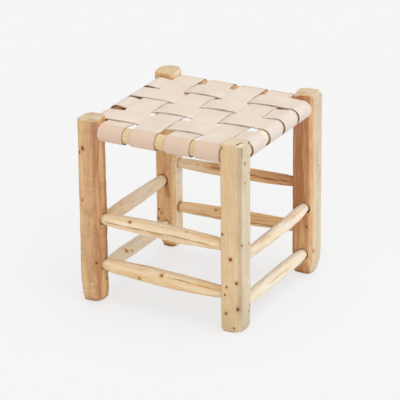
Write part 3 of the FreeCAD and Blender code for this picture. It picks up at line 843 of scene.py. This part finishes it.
def make_stick(name, side, material):
    """A whittled stick, round its node's stations, with soft flats, a long drying check and knots."""
    facts = STICKS[name]
    seed = facts["seed"]
    along_axis = side_facts(side)[0]
    stations = shown_sections(name, along_axis)
    start = stations[1, 0]
    length = stations[-2, 0] - start

    along = np.arange(stations[0, 0], stations[-1, 0], RING_STEP)
    share = (along - start) / length
    middle, up, swell = (soften(np.interp(along, stations[:, 0], row), 3) for row in stations.T[1:])
    free = smooth_step(0.0, STICK_END, share) * (1 - smooth_step(1 - STICK_END, 1.0, share))
    thick = swell.max()

    # The check follows its path and wanders a little; its columns of points lie closer together
    check_shares, check_angles, check_width = facts["check_and_shade"]
    check_half = check_width * MM / 2
    columns = columns_beside(check_half * np.array(CHECK_COLUMNS), thick)
    path = np.radians(np.interp(share, check_shares, check_angles)) + sway(along, seed, CHECK_PATH)
    angle = path[:, None] + columns[None, :]
    opening = smooth_step(check_shares[0] - END_REACH, check_shares[0] + STICK_END, share)
    opening *= 1 - smooth_step(check_shares[-1] - STICK_END, check_shares[-1] + END_REACH, share)
    opening *= CHECK_GAPE + sway(along, seed, CHECK_GAPING)
    check_and_shade, stain = (bell(columns * thick / reach) * opening[:, None] for reach in (check_half, CHECK_STAIN))

    shape = angle.shape
    grid_along = np.broadcast_to(along[:, None], shape)
    sides, flat_depth = STICK_FLATS
    flats = whittle(angle, grid_along, sides, seed)
    uneven = round_waves(grid_along, angle, STICK_WAVES, seed)
    radius = swell[:, None] * (1 - flat_depth * (flats - flats.mean()) * free[:, None])
    radius = radius + uneven * free[:, None] - CHECK_DEPTH * check_and_shade
    bow = sway(along, seed, STICK_BOW) * free
    across = bow[:, None] + radius * np.cos(angle)
    height = up[:, None] + radius * np.sin(angle)
    points = to_frame(grid_along, across, height, along_axis, middle[:, None]).reshape(-1, 3)
    piece = add_piece(name + "_wood", points, tube_faces(*shape))

    knots = []
    for knot_share, knot_angle, knot_radius in facts["knots"]:
        place = start + knot_share * length
        turn = math.radians(knot_angle)
        sideways, level, reach = (np.interp(place, along, row) for row in (middle, up, swell))
        level += reach * math.sin(turn)
        knots.append((to_frame(place, reach * math.cos(turn), level, along_axis, sideways), knot_radius * MM))
    knot = knot_field(points, knots)

    patch_share, patch_angle, half_length, half_width, strength = facts["patch"]
    off_along = (share - patch_share) * length / (half_length * MM)
    off_round = np.angle(np.exp(1j * (angle - math.radians(patch_angle)))) * thick / (half_width * MM)
    patch = strength * bell(off_along)[:, None] * bell(off_round)
    near_end_shade, far_end_shade = facts["ends"]
    # Tone from end to end; the left sticks are kept paler as painted light against the shade under the seat
    tone = np.interp(share, (0, 1), facts["tones"])
    # Darker at both ends, where the stick goes into a leg: part staining and part painted shade
    tone += near_end_shade * bell(share / END_REACH) + far_end_shade * bell((1 - share) / END_REACH)
    tone = (tone[:, None] + STAIN_TONE * stain + PATCH_TONE * patch).ravel()
    tone += HALO_TONE * bell(knot / HALO_REACH)
    grain = round_grain(grid_along, angle, radius, thick * np.array(STICK_PITH), seed)
    write_wood(
        piece.data, grain, tone, facts["streaks"] + patch.ravel(), STICK_MARKS,
        knot + STICK_KNOTS, check_and_shade.ravel(), facts["soil_and_shade"],
    )
    settle(piece, name, material, STICK_SHARP)


def make_rail(side, material):
    """A peeled round seat rail with soft flats and a tenon at each end."""
    name = f"seat_rail_{side}"
    facts = RAILS[side]
    seed = facts["seed"]
    along_axis = side_facts(side)[0]
    stations = stick_sections(name, along_axis)
    middle = stations[:, 1].mean()
    level = stations[:, 2].mean()
    full = stations[:, 3].max()
    thick = stations[stations[:, 3] > 0.9 * full]

    along = np.arange(stations[0, 0], stations[-1, 0], RING_STEP)
    inside = (along > thick[0, 0] - RING_STEP / 2) & (along < thick[-1, 0] + RING_STEP / 2)
    swell = np.where(inside, full, stations[0, 3])
    columns = np.linspace(0, 2 * math.pi, STICK_POINTS, endpoint=False)
    shape = (len(along), len(columns))
    angle = np.broadcast_to(columns[None, :], shape)
    grid_along = np.broadcast_to(along[:, None], shape)
    sides, flat_depth = RAIL_FLATS
    flats = whittle(angle, grid_along, sides, seed)
    uneven = round_waves(grid_along, angle, RAIL_WAVES, seed) - RAIL_LOSS
    radius = swell[:, None] * (1 - flat_depth * flats) + uneven
    points = to_frame(grid_along, radius * np.cos(angle), level + radius * np.sin(angle), along_axis, middle)
    piece = add_piece(name + "_wood", points.reshape(-1, 3), tube_faces(*shape))
    grain = round_grain(grid_along, angle, radius, full * np.array(RAIL_PITH), seed)
    # Painted shade darkens a rail through the dark check colour, on the left rail only
    write_wood(
        piece.data, grain, facts["tone"], facts["streaks"], STICK_MARKS,
        check_and_shade=facts["painted_shade"], soil_and_shade=facts["soil_and_shade"],
    )
    settle(piece, name, material, STICK_SHARP)


# Legs

def hewn_rings(half, radii, flatness):
    """Rings round a rectangle of half its size in x and y, each with its own corners, from round to flat."""
    arcs = []
    steps = np.linspace(0, 1, CORNER_POINTS)
    for number, (way_x, way_y) in enumerate(PLAN_CORNERS):
        angle = math.pi * (1 + number / 2) + steps * math.pi / 2
        reach = radii[number][:, None]
        across = way_x * (half[0] - reach) + reach * np.cos(angle)
        deep = way_y * (half[1] - reach) + reach * np.sin(angle)
        arc = np.stack([across, deep], axis=2)
        chord = arc[:, :1] + (arc[:, -1:] - arc[:, :1]) * steps[None, :, None]
        arcs.append(arc + (chord - arc) * flatness[:, None, None])
    runs = []
    shares = np.linspace(0, 1, SIDE_POINTS + 2)[1:-1]
    for number, arc in enumerate(arcs):
        start = arc[:, -1:, :]
        end = arcs[(number + 1) % len(arcs)][:, :1, :]
        runs.append(arc)
        runs.append(start + (end - start) * shares[None, :, None])
    return np.concatenate(runs, axis=1)


def cut_flat(points, normal, reach):
    """Brings the points that stand beyond a plane back onto it."""
    beyond = np.maximum(points @ normal - reach, 0)
    return points - beyond[..., None] * normal


def cut_top(points, facts, top):
    """Makes the knife cuts on a leg's top and roughens it."""
    for plan, distance, lean in facts["cuts"]:
        plan = math.radians(plan)
        lean = math.radians(lean)
        normal = np.array([math.cos(plan) * math.cos(lean), math.sin(plan) * math.cos(lean), math.sin(lean)])
        points = cut_flat(points, normal, distance * MM * math.cos(lean) + top * math.sin(lean))
    rough = layered_waves(points, TOP_WAVES, facts["seed"]) - TOP_LOSS
    points[:, 2] += rough * smooth_step(top - TOP_ROUGH, top, points[:, 2])
    return points


def cut_foot(points, solid, axis, half):
    """Makes the four cuts of a leg's foot as its solid has them."""
    foot = solid[solid[:, 2] < 10 * TOUCH] - axis
    for direction, way in sorted(SIDES.values()):
        depth = half[direction] - (way * foot[:, direction]).max()
        face = np.abs(way * (solid[:, direction] - axis[direction]) - half[direction]) < TOUCH
        normal = np.zeros(3)
        normal[direction] = way * solid[face, 2].min()
        normal[2] = -depth
        normal /= np.linalg.norm(normal)
        points = cut_flat(points, normal, (half[direction] - depth) * abs(normal[direction]))
    return points


def leg_blank(name):
    """The pole of a leg about its axis, as rings of points: corners, hewn waves, knife-cut top and foot."""
    facts = LEGS[name]
    seed = facts["seed"]
    solid = node_points(name)
    low = solid.min(axis=0)
    high = solid.max(axis=0)
    axis = (low + high) / 2
    half = (high - low)[:2] / 2
    top = high[2]

    rim, bevel = (size * MM for size in facts["sole"])
    heights = np.concatenate([[rim, rim + RIM_ROUND], np.arange(rim + 2 * RIM_ROUND, top, RING_STEP), [top]])
    above_foot = smooth_step(0.0, FOOT_REACH, heights)
    radii = []
    for number, (radius, foot_radius) in enumerate(zip(facts["corners"], facts["foot_corners"])):
        uneven = 0
        for depth, wavelength, step in CORNER_WAVES:
            uneven = uneven + depth * waves_along(heights, wavelength, seed + number + step)
        radii.append((foot_radius + (radius - foot_radius) * above_foot) * MM * (1 + uneven))
    rings = hewn_rings(half, radii, CORNER_FLATNESS * (1 - facts["foot_round"] * (1 - above_foot)))
    levels = np.broadcast_to(heights[:, None, None], (*rings.shape[:2], 1))
    points = np.concatenate([rings, levels], axis=2)
    shrinks = np.linspace(1, 0, CAP_RINGS, endpoint=False)[1:]
    caps = [points[-1] * (shrink, shrink, 1) for shrink in shrinks]
    soles = []
    for shrink in np.linspace(SOLE_MIDDLE, 1, SOLE_RINGS, endpoint=False):
        rise = max(1 - (1 - shrink) * half.min() / bevel, 0) ** SOLE_CURVE
        soles.append(points[0] * (shrink, shrink, rise))
    points = np.concatenate([np.array(soles), points, np.array(caps)])
    shape = points.shape
    points = points.reshape(-1, 3)

    # Hewn waves on the flats
    outwards = points * (1, 1, 0)
    outwards /= np.maximum(np.linalg.norm(outwards, axis=1, keepdims=True), TOUCH)
    points = points + outwards * (layered_waves(points, SIDE_WAVES, seed) - SIDE_LOSS)[:, None]

    points = cut_top(points, facts, top)
    points = cut_foot(points, solid, axis, half)

    # The worn rim of the sole
    worn = np.clip(1 - np.abs(points[:, 2] - rim) / RIM_ROUND, 0, 1)
    points -= outwards * (0.6 * RIM_ROUND * worn)[:, None]
    lifted = 1 - smooth_step(rim, rim + 0.5 * FOOT_REACH, points[:, 2])
    for corner_way, lift in zip(PLAN_CORNERS, facts["worn"]):
        apart = np.linalg.norm(points[:, :2] - half * corner_way, axis=1)
        points[:, 2] += lift * MM * lifted * np.clip(1 - apart / half.min(), 0, 1)
    return points, shape, axis, half


def cut_away(piece, points, faces):
    """Takes a closed shape out of a piece, and cleans the faces that this leaves."""
    cutter = add_piece("cutter", points, faces)
    modifier = piece.modifiers.new("cut", "BOOLEAN")
    modifier.operation = "DIFFERENCE"
    modifier.solver = "EXACT"
    modifier.object = cutter
    bpy.context.view_layer.update()
    graph = bpy.context.evaluated_depsgraph_get()
    rest = bpy.data.meshes.new_from_object(piece.evaluated_get(graph))
    work = bmesh.new()
    work.from_mesh(rest)
    bmesh.ops.remove_doubles(work, verts=work.verts, dist=CUT_MERGE)
    bmesh.ops.dissolve_degenerate(work, edges=work.edges, dist=CUT_MERGE)
    many_sided = [face for face in work.faces if len(face.verts) > 4]
    bmesh.ops.triangulate(work, faces=many_sided, ngon_method="BEAUTY")
    work.to_mesh(rest)
    work.free()
    piece.modifiers.clear()
    piece.data = rest
    bpy.data.objects.remove(cutter)


def cut_mortise(piece, place, along_axis, way, radius, depth):
    """Cuts a round hole into a leg, from a place on its face."""
    turns = np.linspace(0, 2 * math.pi, HOLE_POINTS, endpoint=False)
    rings = []
    for reach in (-MORTISE_START, MORTISE_SHADE, depth):
        ring = np.zeros((HOLE_POINTS, 3))
        ring[:, along_axis] = way * reach
        ring[:, 1 - along_axis] = radius * np.cos(turns)
        ring[:, 2] = radius * np.sin(turns)
        rings.append(ring + place)
    cut_away(piece, np.concatenate(rings), tube_faces(len(rings), HOLE_POINTS))


def mortise_shade(points, holes):
    """Painted shade inside the mortises of a leg, laid on as the dark colour of drying checks."""
    shade = np.zeros(len(points))
    for place, along_axis, way, radius, depth in holes:
        offset = points - place
        inwards = way * offset[:, along_axis]
        apart = np.hypot(offset[:, 1 - along_axis], offset[:, 2])
        within = (inwards > 0.9 * MORTISE_SHADE) & (inwards < 1.02 * depth)
        shade[within & (apart < 1.02 * radius)] = MORTISE_DARK
    return shade


def split_line(name):
    """The line of a leg's first cut on its top, in plan: its direction, that across it, and its place."""
    plan, distance, _ = LEGS[name]["cuts"][0]
    plan = math.radians(plan)
    along = np.array([-math.sin(plan), math.cos(plan), 0])
    across = np.array([math.cos(plan), math.sin(plan), 0])
    return along, across, distance * MM


def cut_split(piece, name, axis, half, top):
    """Opens a drying split in a leg's top along the line of its first cut, from the front edge inwards."""
    split = LEGS[name]["split"]
    along, across, distance = split_line(name)
    start = -(half[1] + distance * across[1]) / along[1] + SPLIT_START
    rim = top - SPLIT_RIM
    above = top + MM
    rings = []
    for share in np.linspace(0, 1, SPLIT_RINGS):
        gape = SPLIT_LEAST + (1 - SPLIT_LEAST) * math.sin(math.pi * share ** 0.7)
        wander = SPLIT_WANDER * math.sin(9 * share)
        middle = axis * (1, 1, 0) + across * (distance + wander)
        middle = middle + along * (start + share * split["length"] * MM)
        width = split["width"] * MM * gape / 2
        low = rim - split["depth"] * MM * gape
        outline = ((-1, above), (-1, rim), (-0.7, low), (0.7, low), (1, rim), (1, above))
        for offset, height in outline:
            rings.append(middle + across * offset * width + np.array([0, 0, height]))
    cut_away(piece, np.array(rings), tube_faces(SPLIT_RINGS, len(outline)))


def split_shade(name, points, axis, half, top):
    # Painted shade on the walls of the split, and a dark line of check down the right front corner
    split = LEGS[name]["split"]
    _, across, distance = split_line(name)
    place = points - axis * (1, 1, 0)
    height = points[:, 2]
    sunk = np.abs(place @ across - distance) < 0.68 * split["width"] * MM
    sunk &= (height < top - 0.95 * SPLIT_RIM) & (height > top - 2 * split["depth"] * MM)
    sunk &= place[:, 1] > 2.5 * MM - half[1]
    corner = np.array([half[0], -half[1] + LEGS[name]["corners"][1] * MM])
    apart = np.linalg.norm(place[:, :2] - corner, axis=1)
    reach = smooth_step(top - split["check_and_shade"] * MM, top - 0.6 * split["check_and_shade"] * MM, height)
    return np.maximum(sunk, smooth_step(1.1 * MM, 0.3 * MM, apart) * reach)


def side_shade(values, normals):
    """Values of a leg's sides and top, spread over it by the way its faces look."""
    shade = values[-1] * normals[:, 2] ** 2
    for value, (direction, way) in zip(values, SIDES.values()):
        shade += value * np.maximum(way * normals[:, direction], 0) ** 2
    return shade


def band_tone(name, points, axis):
    """What the bands of a leg add to its tone."""
    added = np.zeros(len(points))
    height = points[:, 2]
    for number, (side, place, half_width, low, high, tone) in enumerate(LEGS[name]["bands"]):
        direction, way = SIDES[side]
        wander = BAND_WANDER * waves_along(height, BAND_WAVE, LEGS[name]["seed"] + number + BAND_SEED)
        sideways = points[:, 1 - direction] - axis[1 - direction] - wander
        outwards = way * (points[:, direction] - axis[direction])
        share = bell((sideways - place * MM) / (half_width * MM)) * smooth_step(0, BAND_DEPTH, outwards)
        share *= smooth_step((low - BAND_FADE) * MM, (low + BAND_FADE) * MM, height)
        share *= 1 - smooth_step((high - BAND_FADE) * MM, (high + BAND_FADE) * MM, height)
        added += tone * share
    return added


def make_leg(name, holes, material):
    """A hewn pole with a knife-cut top and foot, wavy flats and open mortises round its sticks."""
    facts = LEGS[name]
    seed = facts["seed"]
    blank, shape, axis, half = leg_blank(name)
    top = blank[:, 2].max()
    piece = add_piece(name + "_wood", blank + axis * (1, 1, 0), tube_faces(shape[0], shape[1]))
    for hole in holes:
        cut_mortise(piece, *hole)
    if "split" in facts:
        cut_split(piece, name, axis, half, top)

    mesh = piece.data
    points = read_vectors(mesh.vertices, "co")
    normals = read_vectors(mesh.vertex_normals, "vector")
    height = points[:, 2]
    rim = facts["sole"][0] * MM
    # Tone by side and band; grey by side, which is mostly painted shade on the lit tops and right sides
    values = {
        "tone": side_shade(facts["tones"], normals) + band_tone(name, points, axis),
        "soil_and_shade": side_shade(facts["soils_and_shade"], normals),
        "streaks": facts["streaks"],
    }
    # The right front corner takes its own tone, grey and streaks; on the front right leg the grey is painted
    # shade
    corner = (2 * np.maximum(normals[:, 0], 0) * np.maximum(-normals[:, 1], 0)) ** 3
    corner *= 1 - facts["foot_round"] * (1 - smooth_step(0.0, FOOT_REACH, height))
    for key, value in facts["corner"].items():
        values[key] = values[key] + (value - values[key]) * corner
    values["tone"] += RIM_TONE * smooth_step(rim + 3 * RIM_ROUND, rim, height)
    values["soil_and_shade"] += facts["foot_grey"] * (1 - smooth_step(0.0, 1.5 * FOOT_REACH, height))

    knots = []
    for side, spots in facts["knots"].items():
        direction, way = SIDES[side]
        for place, level, radius in spots:
            centre = np.array([axis[0], axis[1], level * MM])
            centre[direction] += way * half[direction]
            centre[1 - direction] += place * MM
            knots.append((centre * KNOT_SHAPE, radius * MM))

    # Painted shade inside its mortises and its split, and a dark check down the corner
    check_and_shade = mortise_shade(points, holes)
    if "split" in facts:
        check_and_shade = np.maximum(check_and_shade, split_shade(name, points, axis, half, top))
    wander_x, wander_y = (GRAIN_WANDER * waves_along(height, GRAIN_WAVE, seed + step) for step in (2, 3))
    grain = np.stack([
        height + GRAIN_APART * seed,
        points[:, 0] - axis[0] + wander_x,
        points[:, 1] - axis[1] + wander_y,
    ], axis=1)
    knot = knot_field(points * KNOT_SHAPE, knots)
    write_wood(mesh, grain, marks=facts["marks"], knot=knot, check_and_shade=check_and_shade, **values)
    settle(piece, name, material, LEG_SHARP)


# Straps

def strap_lift(places, near, far, crossings):
    """1 where a strap runs over the others, -1 where it runs under, and S-curves between."""
    turns = [(near, 1.0)]
    for start, end, over in crossings:
        lift = 1.0 if over else -1.0
        turns += [(start, lift), (end, lift)]
    turns.append((far, 1.0))
    lifts = np.zeros(len(places))
    for (first, first_lift), (second, second_lift) in zip(turns, turns[1:]):
        within = (places >= first) & (places <= second)
        lifts[within] = first_lift + (second_lift - first_lift) * smooth_step(first, second, places[within])
    return lifts


def strap_section(width, thickness):
    """Across the grain side, round one edge, back across the flesh side and round the other edge."""
    half = width / 2
    edge = STRAP_EDGE_ROUND
    flat = np.linspace(-half + edge, half - edge, STRAP_POINTS)
    arc = np.linspace(math.pi / 2, 0, EDGE_POINTS)[1:]
    top_row = np.stack([flat, np.full(STRAP_POINTS, thickness / 2)], axis=1)
    side_top = np.stack([half - edge + edge * np.cos(arc), thickness / 2 - edge + edge * np.sin(arc)], axis=1)
    side_low = side_top[::-1] * (1, -1)
    low_row = top_row[::-1] * (1, -1)
    section = np.concatenate([top_row, side_top, side_low, low_row, side_top * (-1, -1), side_low * (-1, -1)])
    is_edge = np.abs(section[:, 0]) > half - 0.35 * edge
    is_flesh = (section[:, 1] < 0) & ~is_edge
    return section, is_edge, is_flesh


def strap_run(places, level, thickness, crossings, seed):
    """Heights of a strap over the seat: it crowns over the straps below it and sags under those above."""
    rng = np.random.default_rng(seed)
    near = places[0]
    far = -near
    heights = level + strap_lift(places, near, far, crossings) * thickness / 2
    for start, end, over in crossings:
        if over and start == crossings[0][0]:
            start = near
        if over and end == crossings[-1][1]:
            end = far
        share = np.clip((places - start) / (end - start), 0, 1)
        rise = STRAP_CROWN * rng.uniform(0.8, 1.2) if over else -STRAP_SAG * rng.uniform(0.6, 1.2)
        heights += rise * np.sin(math.pi * share) ** 1.3
    return soften(heights, 2)


def make_strap(name, number, long, others, material):
    """A leather strap round two rails and over and under the straps that cross it."""
    kind = LONG_STRAPS if long else CROSS_STRAPS
    seed = STRAP_SEED + 7 * number + (0 if long else 50)
    solid = node_points(name)
    low = solid.min(axis=0)
    high = solid.max(axis=0)
    run_axis = 1 if long else 0
    width_axis = 1 - run_axis
    width = high[width_axis] - low[width_axis]
    middle = (low[width_axis] + high[width_axis]) / 2
    rail_low, rail_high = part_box("seat_rail_front" if long else "seat_rail_left")
    near = (rail_low[run_axis] + rail_high[run_axis]) / 2
    far = -near
    level = (rail_low[2] + rail_high[2]) / 2
    rail_radius = (rail_high[2] - rail_low[2]) / 2
    thickness = high[2] - level - rail_radius
    wrap = rail_radius + thickness / 2
    under = solid[(solid[:, 2] < level - rail_radius) & (solid[:, run_axis] < 0)]
    tail = under[:, run_axis].max() - near

    # The run over the seat
    crossings = []
    for place, other in enumerate(others):
        other_low, other_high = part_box(other)
        over = (place + number) % 2 == (1 if long else 0)
        crossings.append((other_low[run_axis], other_high[run_axis], over))
    places = np.arange(near, far + STRAP_STEP / 2, STRAP_STEP)
    heights = strap_run(places, level + rail_radius, thickness, crossings, seed)

    # Tail, roll, top, roll, tail
    turns = np.linspace(-math.pi / 2, -1.5 * math.pi, ROLL_POINTS)[:-1]
    reach = wrap + kind["loose"] * MM * np.sin(turns + math.pi / 2) ** 2
    tails = np.arange(tail, 0, -STRAP_STEP)
    start_along = np.concatenate([near + tails, near + reach * np.cos(turns)])
    start_up = np.concatenate([np.full(len(tails), level - wrap), level + reach * np.sin(turns)])
    path_along = np.concatenate([start_along, places, -start_along[::-1]])
    path_up = np.concatenate([start_up, heights, start_up[::-1]])
    path = np.stack([path_along, path_up], axis=1)
    count = len(path)
    lengths = np.concatenate([[0], np.cumsum(np.linalg.norm(np.diff(path, axis=0), axis=1))])
    tangent = np.gradient(path, axis=0)
    tangent /= np.linalg.norm(tangent, axis=1, keepdims=True)
    bend = np.ones(count)
    bend[len(start_along):len(start_along) + len(places)] = 0
    bend = soften(bend, 12)

    # Uneven edges, the strap's skew, a slight cup and shallow dents
    section, is_edge, is_flesh = strap_section(width, thickness)
    shape = (count, len(section))
    beside = section[None, :, 0]
    edge_wave = STRAP_EDGE_UNEVEN * waves_along(lengths, STRAP_EDGE_WAVE, seed + 1)
    laid_flat = [np.broadcast_to(lengths[:, None], shape), np.broadcast_to(beside, shape)]
    sample = np.stack(laid_flat, axis=2).reshape(-1, 2)
    cup = -STRAP_CUP * (2 * beside / width) ** 2
    dents = STRAP_DENT * waves(sample, STRAP_DENT_WAVE, seed + 2).reshape(shape)
    rise = section[None, :, 1] + (cup + dents) * (1 - bend[:, None])
    across = beside + edge_wave[:, None]
    grid = np.zeros((*shape, 3))
    grid[..., run_axis] = path_along[:, None] - rise * tangent[:, 1][:, None]
    grid[..., width_axis] = middle + across + STRAP_SKEWS[name] * path_along[:, None]
    grid[..., 2] = path_up[:, None] + rise * tangent[:, 0][:, None]
    piece = add_piece(name + "_leather", grid.reshape(-1, 3), tube_faces(*shape))

    mesh = piece.data
    lay = [sample[:, 0] + LAY_APART * seed, sample[:, 1], np.tile(section[:, 1], count)]
    write_vectors(mesh, "lay", np.stack(lay, axis=1))
    ends = np.zeros(count)
    ends[[0, -1]] = 1
    # How dark the cut edges are: part burnish and part painted shade, most on the rolls
    burnish_and_shade = kind["seat_edge"] + (kind["roll_edge"] - kind["seat_edge"]) * bend
    write_values(mesh, "edge", np.maximum(np.repeat(ends, len(section)), np.tile(is_edge, count)))
    write_values(mesh, "flesh", np.tile(is_flesh, count))
    write_values(mesh, "bend", np.repeat(bend * kind["bend"], len(section)))
    write_values(mesh, "burnish_and_shade", np.repeat(burnish_and_shade, len(section)))
    settle(piece, name, material, STRAP_SHARP)


# Build

leg_wood = wood_material("hewn_leg_wood")
stick_wood = wood_material("whittled_stick_wood")
rail_wood = wood_material("peeled_rail_wood")
leather = leather_material()
steel = steel_material()

mortises = {name: [] for name in LEGS}
for side in SIDES:
    along_axis, legs = side_facts(side)
    for level in LEVELS:
        name = f"stretcher_{side}_{level}"
        make_stick(name, side, stick_wood)
        stations = shown_sections(name, along_axis)
        for leg, gap, way, face, end in zip(legs, STICKS[name]["gaps"], (-1, 1), (1, -2), (0, -1)):
            place = np.zeros(3)
            place[along_axis] = stations[face, 0]
            place[1 - along_axis] = stations[face, 1] + gap[0] * MM
            place[2] = stations[face, 2] + gap[1] * MM
            depth = abs(stations[end, 0] - stations[face, 0]) + MORTISE_DEEPER
            radius = stations[face, 3] + MORTISE_WIDER + MORTISE_GAP * math.hypot(*gap) * MM
            mortises[leg].append((place, along_axis, way, radius, depth))
    make_rail(side, rail_wood)
    tack_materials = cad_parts[f"tacks_{side}"].data.materials
    tack_materials.clear()
    tack_materials.append(steel)

for name, holes in mortises.items():
    make_leg(name, holes, leg_wood)

long_straps = [f"strap_long_{letter}" for letter in LETTERS]
cross_straps = [f"strap_cross_{letter}" for letter in LETTERS]
for number, name in enumerate(long_straps):
    make_strap(name, number, True, cross_straps, leather)
for number, name in enumerate(cross_straps):
    make_strap(name, number, False, long_straps, leather)

# Floor, light and camera

scene = bpy.context.scene
scene.view_settings.view_transform = "Standard"

floor_corners = np.array([(x, y, 0) for x, y in PLAN_CORNERS]) * FLOOR_SIZE / 2
floor = add_piece("floor", floor_corners, [(0, 1, 2, 3)])
floor_material, tree, shader = start_material("pale_floor")
shader.inputs["Base Color"].default_value = FLOOR_COLOUR
shader.inputs["Roughness"].default_value = FLOOR_ROUGHNESS
shader.inputs["Specular IOR Level"].default_value = 0.0
glow = add_node(tree, "ShaderNodeEmission", {"Color": LIFT_COLOUR, "Strength": 1.0})
share = multiply(seen_directly(tree), FLOOR_LIFT)
mix = add_node(tree, "ShaderNodeMixShader", {0: share, 1: shader.outputs[0], 2: glow.outputs[0]})
tree.links.new(mix.outputs[0], tree.nodes["Material Output"].inputs[0])
floor.data.materials.append(floor_material)

world = bpy.data.worlds.new("pale_studio")
scene.world = world
world.use_nodes = True
tree = world.node_tree
tree.nodes.clear()
strength = calculate("MULTIPLY_ADD", seen_directly(tree), 1.0 - SKY_STRENGTH, SKY_STRENGTH)
sky = add_node(tree, "ShaderNodeBackground", {"Color": FLOOR_COLOUR, "Strength": strength})
add_node(tree, "ShaderNodeOutputWorld", {0: sky.outputs[0]})

for name, facts in LAMPS.items():
    lamp_data = bpy.data.lights.new(name, "SUN")
    lamp_data.energy = facts["strength"]
    lamp_data.angle = math.radians(facts["spread"])
    lamp = bpy.data.objects.new(name, lamp_data)
    lamp.rotation_euler = Vector(facts["direction"]).to_track_quat("Z", "Y").to_euler()
    scene.collection.objects.link(lamp)

camera_data = bpy.data.cameras.new("camera")
camera_data.sensor_fit = "HORIZONTAL"
camera_data.sensor_width = SENSOR_WIDTH
camera_data.lens = LENS
camera = bpy.data.objects.new("camera", camera_data)
view = Matrix.Translation(VIEW_TARGET)
for angle, axis in ((VIEW_AZIMUTH, "Z"), (math.pi / 2 - VIEW_ELEVATION, "X"), (VIEW_ROLL, "Z")):
    view = view @ Matrix.Rotation(angle, 4, axis)
camera.matrix_world = view @ Matrix.Translation((0, 0, VIEW_DISTANCE))
scene.collection.objects.link(camera)
scene.camera = camera
